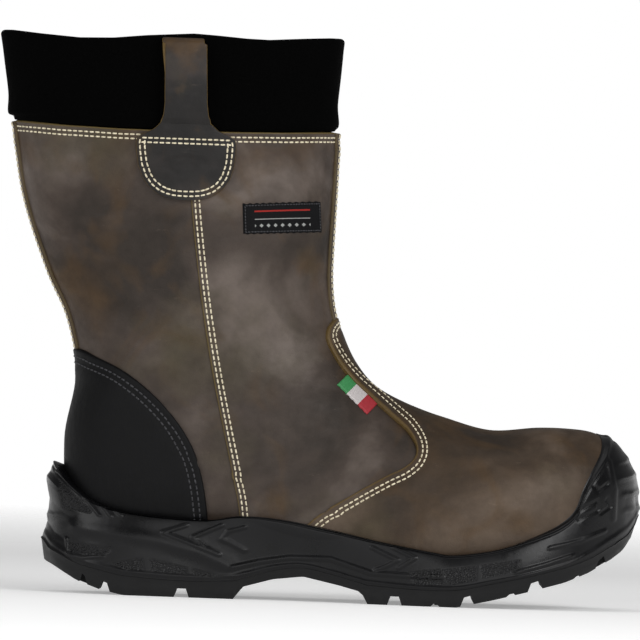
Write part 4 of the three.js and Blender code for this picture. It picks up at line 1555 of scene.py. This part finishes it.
def cut_away(piece, cutter):
    """Takes one solid out of another."""
    change = piece.modifiers.new("cut", "BOOLEAN")
    change.operation = "DIFFERENCE"
    change.solver = "EXACT"
    change.object = cutter
    bpy.context.view_layer.objects.active = piece
    bpy.ops.object.modifier_apply(modifier=change.name)
    bpy.data.objects.remove(cutter)


tread = tread_block()
for row in zip(edge_grooves["start"], edge_grooves["end"], edge_grooves["depth"]):
    cut_away(tread, prism("groove", groove_outline(*row), -90, -middle_half))
    cut_away(tread, prism("groove", groove_outline(*row), middle_half, 90))
for row in zip(middle_grooves["start"], middle_grooves["end"], middle_grooves["depth"]):
    cut_away(tread, prism("groove", groove_outline(*row), -middle_half, middle_half))
channel_x = np.linspace(in_x(0.06), in_x(0.92), 90)
channel_top = np.minimum(ground_at(channel_x) + channel_depth, parting_at(channel_x) - gap - channel_roof)
channel_outline = [*np.stack([channel_x, channel_top], -1), [in_x(0.92), -30], [in_x(0.06), -30]]
for middle in (-middle_half, middle_half):
    cut_away(
        tread, prism("channel", channel_outline, middle - channel_width / 2, middle + channel_width / 2),
    )
bevel = tread.modifiers.new("soft edges", "BEVEL")
bevel.width = 0.0005
bevel.segments = 2
bevel.limit_method = "ANGLE"
bevel.angle_limit = math.radians(38)
bpy.context.view_layer.objects.active = tread
bpy.ops.object.modifier_apply(modifier=bevel.name)
bpy.ops.object.select_all(action="DESELECT")
tread.select_set(True)
bpy.ops.object.shade_smooth_by_angle(angle=math.radians(35))
tread.select_set(False)


# Materials.
def linear(code):
    """Linear colour from an sRGB hex value."""
    parts = [int(code[i:i + 2], 16) / 255 for i in (1, 3, 5)]
    return tuple([c / 12.92 if c <= 0.04045 else ((c + 0.055) / 1.055) ** 2.4 for c in parts] + [1.0])


def per_mm(size):
    """Texture scale at which one cell of a pattern is about this many millimetres."""
    return 1000 / size


def join(tree, node, sockets):
    """Sets a node's sockets to values, or links them to other nodes' outputs."""
    for name, value in sockets.items():
        if isinstance(value, bpy.types.NodeSocket):
            tree.links.new(value, node.inputs[name])
        else:
            node.inputs[name].default_value = value


def add(tree, kind, sockets=None, settings=None, stops=None, output=0):
    """Adds a node with its settings, sockets and a ramp's stops, and gives one of its outputs."""
    node = tree.nodes.new(kind)
    for name, value in (settings or {}).items():
        setattr(node, name, value)
    join(tree, node, sockets or {})
    if stops:
        elements = node.color_ramp.elements
        while len(elements) < len(stops):
            elements.new(0.5)
        for element, (place, value) in zip(elements, stops):
            element.position = place
            element.color = linear(value) if isinstance(value, str) else (value, value, value, 1)
    return node.outputs[output]


def start_material(name):
    """A material, its nodes and its Object coordinates."""
    material = bpy.data.materials.new(name)
    material.use_nodes = True
    tree = material.node_tree
    place = add(tree, "ShaderNodeTexCoord", output="Object")
    return material, tree, tree.nodes["Principled BSDF"], place


def oiled_leather(name, dark, middle, light, edge_colour, edge_width):
    """Full-grain leather with an oily finish: cloudy brown that turns amber and olive, a waxy
    sheen where it is rubbed, fine pale scuffs, and an olive raw edge."""
    material, tree, shader, place = start_material(name)
    clouds = add(
        tree, "ShaderNodeTexNoise", {"Vector": place, "Scale": per_mm(60), "Detail": 4, "Distortion": 0.7},
    )
    # The light attribute brings painted highlights and painted shade into the colour, over the leather's own
    # tone clouds.
    painted = add(tree, "ShaderNodeAttribute", settings={"attribute_name": "light"}, output="Fac")
    clouds = add(tree, "ShaderNodeMath", {0: painted, 1: 0.26, 2: clouds}, {"operation": "MULTIPLY_ADD"})
    colour = add(
        tree, "ShaderNodeValToRGB", {"Fac": clouds}, stops=[(0.34, dark), (0.5, middle), (0.68, light)],
    )
    amber_place = add(
        tree, "ShaderNodeTexNoise", {"Vector": place, "Scale": per_mm(38), "Detail": 4, "Distortion": 1},
    )
    warmed = add(tree, "ShaderNodeAttribute", settings={"attribute_name": "warm"}, output="Fac")
    warmth = add(tree, "ShaderNodeMath", {0: warmed, 1: 0.2, 2: amber_place}, {"operation": "MULTIPLY_ADD"})
    amber = add(tree, "ShaderNodeValToRGB", {"Fac": warmth}, stops=[(0.54, 0.0), (0.76, 0.75)])
    colour = add(
        tree, "ShaderNodeMix", {0: amber, 6: colour, 7: linear("#453117")}, {"data_type": "RGBA"}, output=2,
    )
    olive_place = add(tree, "ShaderNodeMapping", {"Vector": place, "Location": (0.37, 0.11, 0.23)})
    olive_cloud = add(tree, "ShaderNodeTexNoise", {"Vector": olive_place, "Scale": per_mm(52), "Detail": 4})
    olive = add(tree, "ShaderNodeValToRGB", {"Fac": olive_cloud}, stops=[(0.54, 0.0), (0.74, 0.6)])
    colour = add(
        tree, "ShaderNodeMix", {0: olive, 6: colour, 7: linear("#3b3420")}, {"data_type": "RGBA"}, output=2,
    )
    mottle = add(
        tree, "ShaderNodeTexNoise", {"Vector": place, "Scale": per_mm(9), "Detail": 6, "Roughness": 0.65},
    )
    mottled = add(tree, "ShaderNodeValToRGB", {"Fac": mottle}, stops=[(0.3, 0.36), (0.7, 0.62)])
    colour = add(
        tree,
        "ShaderNodeMix",
        {0: 0.6, 6: colour, 7: mottled},
        {"data_type": "RGBA", "blend_type": "OVERLAY"},
        output=2,
    )
    drawn = add(
        tree, "ShaderNodeMapping", {"Vector": place, "Rotation": (0.2, 0.6, 0.1), "Scale": (0.3, 1, 1.2)},
    )
    scratch = add(
        tree, "ShaderNodeTexNoise", {"Vector": drawn, "Scale": per_mm(4), "Detail": 8, "Roughness": 0.8},
    )
    scuff = add(tree, "ShaderNodeValToRGB", {"Fac": scratch}, stops=[(0.62, 0.0), (0.76, 0.35)])
    colour = add(
        tree, "ShaderNodeMix", {0: scuff, 6: colour, 7: linear("#7d6c59")}, {"data_type": "RGBA"}, output=2,
    )
    from_edge = add(tree, "ShaderNodeAttribute", settings={"attribute_name": "edge"}, output="Fac")
    share = add(tree, "ShaderNodeMath", {0: from_edge, 1: edge_width}, {"operation": "DIVIDE"})
    fray = add(tree, "ShaderNodeTexNoise", {"Vector": place, "Scale": per_mm(2.2), "Detail": 4})
    frayed = add(tree, "ShaderNodeMath", {0: fray, 1: 0.5, 2: share}, {"operation": "MULTIPLY_ADD"})
    raw = add(tree, "ShaderNodeValToRGB", {"Fac": frayed}, stops=[(0.6, 0.85), (1.0, 0.0)])
    colour = add(
        tree, "ShaderNodeMix", {0: raw, 6: colour, 7: linear(edge_colour)}, {"data_type": "RGBA"}, output=2,
    )
    waxed = add(tree, "ShaderNodeValToRGB", {"Fac": mottle}, stops=[(0.35, 0.6), (0.65, 0.46)])
    rough = add(
        tree, "ShaderNodeMix", {0: scuff, 6: waxed, 7: linear("#c8c8c8")}, {"data_type": "RGBA"}, output=2,
    )
    pores = add(
        tree,
        "ShaderNodeTexVoronoi",
        {"Vector": place, "Scale": per_mm(1.2)},
        {"feature": "DISTANCE_TO_EDGE"},
    )
    grain = add(tree, "ShaderNodeBump", {"Height": pores, "Distance": 0.00012, "Strength": 0.35})
    creased = add(
        tree, "ShaderNodeTexNoise", {"Vector": place, "Scale": per_mm(6), "Detail": 6, "Distortion": 0.4},
    )
    wrinkle = add(
        tree, "ShaderNodeBump", {"Height": creased, "Distance": 0.0005, "Strength": 0.5, "Normal": grain},
    )
    slack = add(tree, "ShaderNodeTexNoise", {"Vector": drawn, "Scale": per_mm(24), "Detail": 2})
    soft = add(
        tree, "ShaderNodeBump", {"Height": slack, "Distance": 0.003, "Strength": 0.4, "Normal": wrinkle},
    )
    values = {"Base Color": colour, "Roughness": rough, "IOR": 1.48, "Specular IOR Level": 0.3}
    values["Normal"] = soft
    join(tree, shader, values)
    return material


def finished_black_leather():
    """Corrected leather under a matt black finish: fine upright wrinkles and dull grey scuffs."""
    material, tree, shader, place = start_material("finished_black_leather")
    upright = add(tree, "ShaderNodeMapping", {"Vector": place, "Scale": (1, 1, 0.28)})
    wear = add(
        tree,
        "ShaderNodeTexNoise",
        {"Vector": upright, "Scale": per_mm(2.6), "Detail": 9, "Roughness": 0.75},
    )
    scuff = add(tree, "ShaderNodeValToRGB", {"Fac": wear}, stops=[(0.52, 0.0), (0.8, 0.5)])
    colour = add(
        tree,
        "ShaderNodeMix",
        {0: scuff, 6: linear("#040405"), 7: linear("#19191c")},
        {"data_type": "RGBA"},
        output=2,
    )
    rough = add(tree, "ShaderNodeValToRGB", {"Fac": wear}, stops=[(0.3, 0.5), (0.7, 0.66)])
    wrinkle = add(tree, "ShaderNodeBump", {"Height": wear, "Distance": 0.0004, "Strength": 0.5})
    cloud = add(tree, "ShaderNodeTexNoise", {"Vector": place, "Scale": per_mm(11), "Detail": 3})
    soft = add(
        tree, "ShaderNodeBump", {"Height": cloud, "Distance": 0.001, "Strength": 0.4, "Normal": wrinkle},
    )
    values = {"Base Color": colour, "Roughness": rough, "IOR": 1.48, "Specular IOR Level": 0.17}
    values["Normal"] = soft
    join(tree, shader, values)
    return material


def brushed_knit():
    """Brushed black knit over foam: the nap swallows the light, so no gloss is left."""
    material, tree, shader, place = start_material("brushed_black_knit")
    nap = add(
        tree, "ShaderNodeTexNoise", {"Vector": place, "Scale": per_mm(1.2), "Detail": 5, "Roughness": 0.7},
    )
    colour = add(tree, "ShaderNodeValToRGB", {"Fac": nap}, stops=[(0.35, "#010101"), (0.75, "#030303")])
    fuzz = add(tree, "ShaderNodeBump", {"Height": nap, "Distance": 0.0003, "Strength": 0.5})
    slack = add(tree, "ShaderNodeTexNoise", {"Vector": place, "Scale": per_mm(14), "Detail": 3})
    soft = add(
        tree, "ShaderNodeBump", {"Height": slack, "Distance": 0.0015, "Strength": 0.4, "Normal": fuzz},
    )
    values = {"Base Color": colour, "Roughness": 1.0, "Specular IOR Level": 0.04, "Normal": soft}
    join(tree, shader, values)
    return material


def moulded_polyurethane():
    """Black polyurethane from a polished mould: satin, with grit in the sunken panels."""
    material, tree, shader, place = start_material("moulded_black_polyurethane")
    cloud = add(
        tree, "ShaderNodeTexNoise", {"Vector": place, "Scale": per_mm(16), "Detail": 4, "Roughness": 0.6},
    )
    colour = add(tree, "ShaderNodeValToRGB", {"Fac": cloud}, stops=[(0.3, "#050506"), (0.7, "#0a0a0c")])
    satin = add(tree, "ShaderNodeValToRGB", {"Fac": cloud}, stops=[(0.35, 0.24), (0.65, 0.38)])
    panel = add(tree, "ShaderNodeAttribute", settings={"attribute_name": "stipple"}, output="Fac")
    rough = add(
        tree, "ShaderNodeMix", {0: panel, 6: satin, 7: linear("#a0a0a0")}, {"data_type": "RGBA"}, output=2,
    )
    skin = add(tree, "ShaderNodeTexNoise", {"Vector": place, "Scale": per_mm(1.5), "Detail": 5})
    smooth = add(tree, "ShaderNodeBump", {"Height": skin, "Distance": 0.0001, "Strength": 0.35})
    dots = add(tree, "ShaderNodeTexVoronoi", {"Vector": place, "Scale": per_mm(1.0)})
    grit = add(tree, "ShaderNodeMath", {0: dots, 1: panel}, {"operation": "MULTIPLY"})
    rubbed = add(
        tree, "ShaderNodeBump", {"Height": grit, "Distance": 0.0006, "Strength": 0.9, "Normal": smooth},
    )
    join(
        tree,
        shader,
        {"Base Color": colour, "Roughness": rough, "Specular IOR Level": 0.26, "Normal": rubbed},
    )
    return material


def moulded_rubber():
    """Black nitrile rubber: duller than the cup, dusty grey where it meets the ground."""
    material, tree, shader, place = start_material("moulded_black_rubber")
    dust = add(
        tree, "ShaderNodeTexNoise", {"Vector": place, "Scale": per_mm(7), "Detail": 7, "Roughness": 0.7},
    )
    colour = add(tree, "ShaderNodeValToRGB", {"Fac": dust}, stops=[(0.45, "#070708"), (0.8, "#151515")])
    rough = add(tree, "ShaderNodeValToRGB", {"Fac": dust}, stops=[(0.3, 0.42), (0.7, 0.62)])
    skin = add(tree, "ShaderNodeTexNoise", {"Vector": place, "Scale": per_mm(1.2), "Detail": 4})
    relief = add(tree, "ShaderNodeBump", {"Height": skin, "Distance": 0.00015, "Strength": 0.5})
    values = {"Base Color": colour, "Roughness": rough, "Specular IOR Level": 0.28, "Normal": relief}
    join(tree, shader, values)
    return material


def waxed_thread(name, dark, light):
    """Waxed polyester thread: its twist shows as fine ridges, drawn coarser than it is."""
    material, tree, shader, place = start_material(name)
    twist = add(tree, "ShaderNodeTexNoise", {"Vector": place, "Scale": per_mm(0.7), "Detail": 2})
    colour = add(tree, "ShaderNodeValToRGB", {"Fac": twist}, stops=[(0.35, dark), (0.65, light)])
    ridge = add(tree, "ShaderNodeBump", {"Height": twist, "Distance": 0.00015, "Strength": 0.6})
    join(tree, shader, {"Base Color": colour, "Roughness": 0.6, "Normal": ridge})
    return material


def woven_black_ribbon():
    """Woven black ribbon: a pale rule, a row of small diamonds and a thin red line."""
    material, tree, shader, place = start_material("woven_black_ribbon")
    across = add(tree, "ShaderNodeAttribute", settings={"attribute_name": "across"}, output="Fac")
    rise = add(tree, "ShaderNodeAttribute", settings={"attribute_name": "rise"}, output="Fac")
    reach = add(tree, "ShaderNodeMath", {0: across, 1: 0.0, 2: 13.8}, {"operation": "COMPARE"})
    rule_line = add(tree, "ShaderNodeMath", {0: rise, 1: -0.4, 2: 0.2}, {"operation": "COMPARE"})
    red_line = add(tree, "ShaderNodeMath", {0: rise, 1: 3.7, 2: 0.4}, {"operation": "COMPARE"})
    cell = add(tree, "ShaderNodeMath", {0: across, 1: 1.75}, {"operation": "PINGPONG"})
    height = add(tree, "ShaderNodeMath", {0: rise, 1: 3.7}, {"operation": "ADD"})
    level = add(tree, "ShaderNodeMath", {0: height}, {"operation": "ABSOLUTE"})
    spread = add(tree, "ShaderNodeMath", {0: cell, 1: level}, {"operation": "ADD"})
    diamond = add(tree, "ShaderNodeMath", {0: spread, 1: 1.0}, {"operation": "LESS_THAN"})
    pale = add(tree, "ShaderNodeMath", {0: rule_line, 1: diamond}, {"operation": "MAXIMUM"})
    pale = add(tree, "ShaderNodeMath", {0: pale, 1: reach}, {"operation": "MULTIPLY"})
    red = add(tree, "ShaderNodeMath", {0: red_line, 1: reach}, {"operation": "MULTIPLY"})
    colour = add(
        tree,
        "ShaderNodeMix",
        {0: pale, 6: linear("#08080a"), 7: linear("#8f908e")},
        {"data_type": "RGBA"},
        output=2,
    )
    colour = add(
        tree, "ShaderNodeMix", {0: red, 6: colour, 7: linear("#8e241f")}, {"data_type": "RGBA"}, output=2,
    )
    weave = add(tree, "ShaderNodeTexChecker", {"Vector": place, "Scale": per_mm(0.8)}, output="Fac")
    relief = add(tree, "ShaderNodeBump", {"Height": weave, "Distance": 0.0001, "Strength": 0.4})
    join(
        tree,
        shader,
        {"Base Color": colour, "Roughness": 0.75, "Specular IOR Level": 0.15, "Normal": relief},
    )
    return material


def woven_satin_ribbon():
    """Woven satin ribbon in three bands of colour."""
    material, tree, shader, place = start_material("woven_satin_ribbon")
    across = add(tree, "ShaderNodeAttribute", settings={"attribute_name": "across"}, output="Fac")
    green = add(tree, "ShaderNodeMath", {0: across, 1: -4.1}, {"operation": "LESS_THAN"})
    red = add(tree, "ShaderNodeMath", {0: across, 1: 3.9}, {"operation": "GREATER_THAN"})
    colour = add(
        tree,
        "ShaderNodeMix",
        {0: green, 6: linear("#b9b3b2"), 7: linear("#2f7d45")},
        {"data_type": "RGBA"},
        output=2,
    )
    colour = add(
        tree, "ShaderNodeMix", {0: red, 6: colour, 7: linear("#98202a")}, {"data_type": "RGBA"}, output=2,
    )
    weave = add(tree, "ShaderNodeTexChecker", {"Vector": place, "Scale": per_mm(0.7)}, output="Fac")
    relief = add(tree, "ShaderNodeBump", {"Height": weave, "Distance": 0.0001, "Strength": 0.4})
    join(tree, shader, {"Base Color": colour, "Roughness": 0.5, "Normal": relief})
    return material


def needled_felt(name, dark, light):
    """Needled felt or lining knit: a soft short nap."""
    material, tree, shader, place = start_material(name)
    nap = add(
        tree, "ShaderNodeTexNoise", {"Vector": place, "Scale": per_mm(1.4), "Detail": 6, "Roughness": 0.7},
    )
    colour = add(tree, "ShaderNodeValToRGB", {"Fac": nap}, stops=[(0.35, dark), (0.7, light)])
    fuzz = add(tree, "ShaderNodeBump", {"Height": nap, "Distance": 0.0003, "Strength": 0.6})
    join(tree, shader, {"Base Color": colour, "Roughness": 0.95, "Specular IOR Level": 0.2, "Normal": fuzz})
    return material


def dress(piece, material):
    """Gives a piece its one material."""
    piece.data.materials.clear()
    piece.data.materials.append(material)


brown_leather = oiled_leather("oiled_brown_leather", "#261e17", "#3b312a", "#5c524b", "#65552f", 0.9)
strip_leather = oiled_leather("oiled_strip_leather", "#2a2119", "#3c3127", "#50443a", "#52452b", 0.35)
vamp_oiled = oiled_leather("oiled_vamp_leather", "#271d13", "#3a2d20", "#55473a", "#574522", 1.6)
strap_oiled = oiled_leather("oiled_strap_leather", "#0b0908", "#13100e", "#2a2421", "#6d5628", 0.45)
counter_black = finished_black_leather()
knit = brushed_knit()
side_rubber = moulded_polyurethane()
tread_rubber = moulded_rubber()
cream_polyester = waxed_thread("cream_polyester_thread", "#b5a98c", "#e9dfc4")
# The black thread's grey #3a3a3e stop is a painted glint: it lightens patches of the thread where light
# would catch it.
black_thread_with_painted_glints = waxed_thread("black_polyester_thread_painted_glints", "#0c0c0e", "#3a3a3e")
lining_knit = needled_felt("black_lining_knit", "#0a0a0b", "#171719")
insole_felt = needled_felt("grey_insole_felt", "#161618", "#343438")

for piece in (upper, front_panel):
    dress(piece, brown_leather)
for piece in (front_cover, back_cover):
    dress(piece, strip_leather)
dress(vamp, vamp_oiled)
for strap in straps.values():
    dress(strap, strap_oiled)
dress(counter, counter_black)
dress(lining, lining_knit)
dress(cuff, knit)
dress(label, woven_black_ribbon())
dress(tag, woven_satin_ribbon())
dress(cream_thread, cream_polyester)
dress(black_thread, black_thread_with_painted_glints)
dress(cup, side_rubber)
dress(tread, tread_rubber)
dress(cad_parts["insole"], insole_felt)

# What each piece stands for.
for piece in (upper, lining, front_panel):
    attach(piece, "root")
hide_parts("upper")
for piece, node in (
    (vamp, "vamp"),
    (counter, "heel_counter"),
    (front_cover, "front_strip"),
    (back_cover, "back_strip"),
    (cuff, "cuff"),
    (straps[-1], "pull_strap_outer"),
    (straps[1], "pull_strap_inner"),
    (label, "woven_label"),
    (tag, "side_tag"),
    (cup, "midsole_cup"),
    (tread, "outsole"),
):
    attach(piece, "root")
    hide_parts(node)
for piece in (cream_thread, black_thread):
    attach(piece, "root")


# Floor, light and camera.
def studio_floor():
    """A round sheet of matt white paper that thins out to nothing away from the boot."""
    bpy.ops.mesh.primitive_circle_add(vertices=96, radius=3, fill_type="NGON", location=(0, 0, 0))
    floor = bpy.context.object
    floor.name = "studio_floor"
    bpy.ops.object.mode_set(mode="EDIT")
    bpy.ops.mesh.select_all(action="SELECT")
    bpy.ops.mesh.inset(thickness=1.2)
    bpy.ops.object.mode_set(mode="OBJECT")
    material, tree, shader, place = start_material("matt_white_paper")
    reach = add(tree, "ShaderNodeVectorMath", {0: place}, {"operation": "LENGTH"}, output="Value")
    share = add(tree, "ShaderNodeMath", {0: reach, 1: 3.0}, {"operation": "DIVIDE"})
    there = add(tree, "ShaderNodeValToRGB", {"Fac": share}, stops=[(0.3, 1.0), (0.87, 0.0)])
    tooth = add(tree, "ShaderNodeTexNoise", {"Vector": place, "Scale": per_mm(2), "Detail": 3})
    relief = add(tree, "ShaderNodeBump", {"Height": tooth, "Distance": 0.0001, "Strength": 0.3})
    values = {"Base Color": linear("#f2f2f2"), "Roughness": 0.9, "Normal": relief, "Alpha": there}
    join(tree, shader, values)
    shader.inputs["Emission Color"].default_value = linear("#ffffff")
    shader.inputs["Emission Strength"].default_value = 0.3
    dress(floor, material)


def pale_world():
    """White paper all round at eye level, dimmer towards the ceiling."""
    world = bpy.data.worlds.new("pale_studio")
    world.use_nodes = True
    tree = world.node_tree
    way = add(tree, "ShaderNodeTexCoord", output="Generated")
    height = add(tree, "ShaderNodeSeparateXYZ", {"Vector": way}, output="Z")
    strength = add(tree, "ShaderNodeValToRGB", {"Fac": height}, stops=[(0.06, 1.0), (0.16, 0.2)])
    join(tree, tree.nodes["Background"], {"Color": linear("#ffffff"), "Strength": strength})
    bpy.context.scene.world = world


def soft_light(name, place, aim, size, power, spread=180):
    data = bpy.data.lights.new(name, "AREA")
    data.shape = "RECTANGLE"
    data.size, data.size_y = size
    data.energy = power
    data.spread = math.radians(spread)
    lamp = bpy.data.objects.new(name, data)
    bpy.context.scene.collection.objects.link(lamp)
    way = Vector(aim) - Vector(place)
    lamp.matrix_world = Matrix.Translation(Vector(place)) @ way.to_track_quat("-Z", "Y").to_matrix().to_4x4()


studio_floor()
middle_of_boot = (0.08, 0, 0.14)
soft_light("key from the right", (1.0, -1.3, 0.9), middle_of_boot, (0.9, 0.9), 13)
soft_light("fill from the left", (-1.1, -1.2, 0.8), middle_of_boot, (0.7, 1.1), 7)
soft_light("front", (0.1, -2.2, 0.5), middle_of_boot, (1.2, 1.2), 7)
soft_light("top", (0.1, -0.1, 1.5), middle_of_boot, (1.2, 0.8), 3)
pale_world()

camera_data = bpy.data.cameras.new("camera")
camera = bpy.data.objects.new("camera", camera_data)
bpy.context.scene.collection.objects.link(camera)
bpy.context.scene.camera = camera
frame_width = 329.6
camera_distance = 6000
roll = math.radians(2)
camera_data.sensor_width = 36
camera_data.lens = 36 * camera_distance / frame_width
camera_data.clip_start = 0.1
camera_data.clip_end = 50
right = Vector((math.cos(roll), 0, math.sin(roll)))
above = Vector((-math.sin(roll), 0, math.cos(roll)))
back = Vector((0, -1, 0))
turn = Matrix((right, above, back)).transposed().to_4x4()
camera.matrix_world = Matrix.Translation(Vector((0.0855, -camera_distance * 0.001, 0.1443))) @ turn
bpy.context.scene.view_settings.view_transform = "Standard"
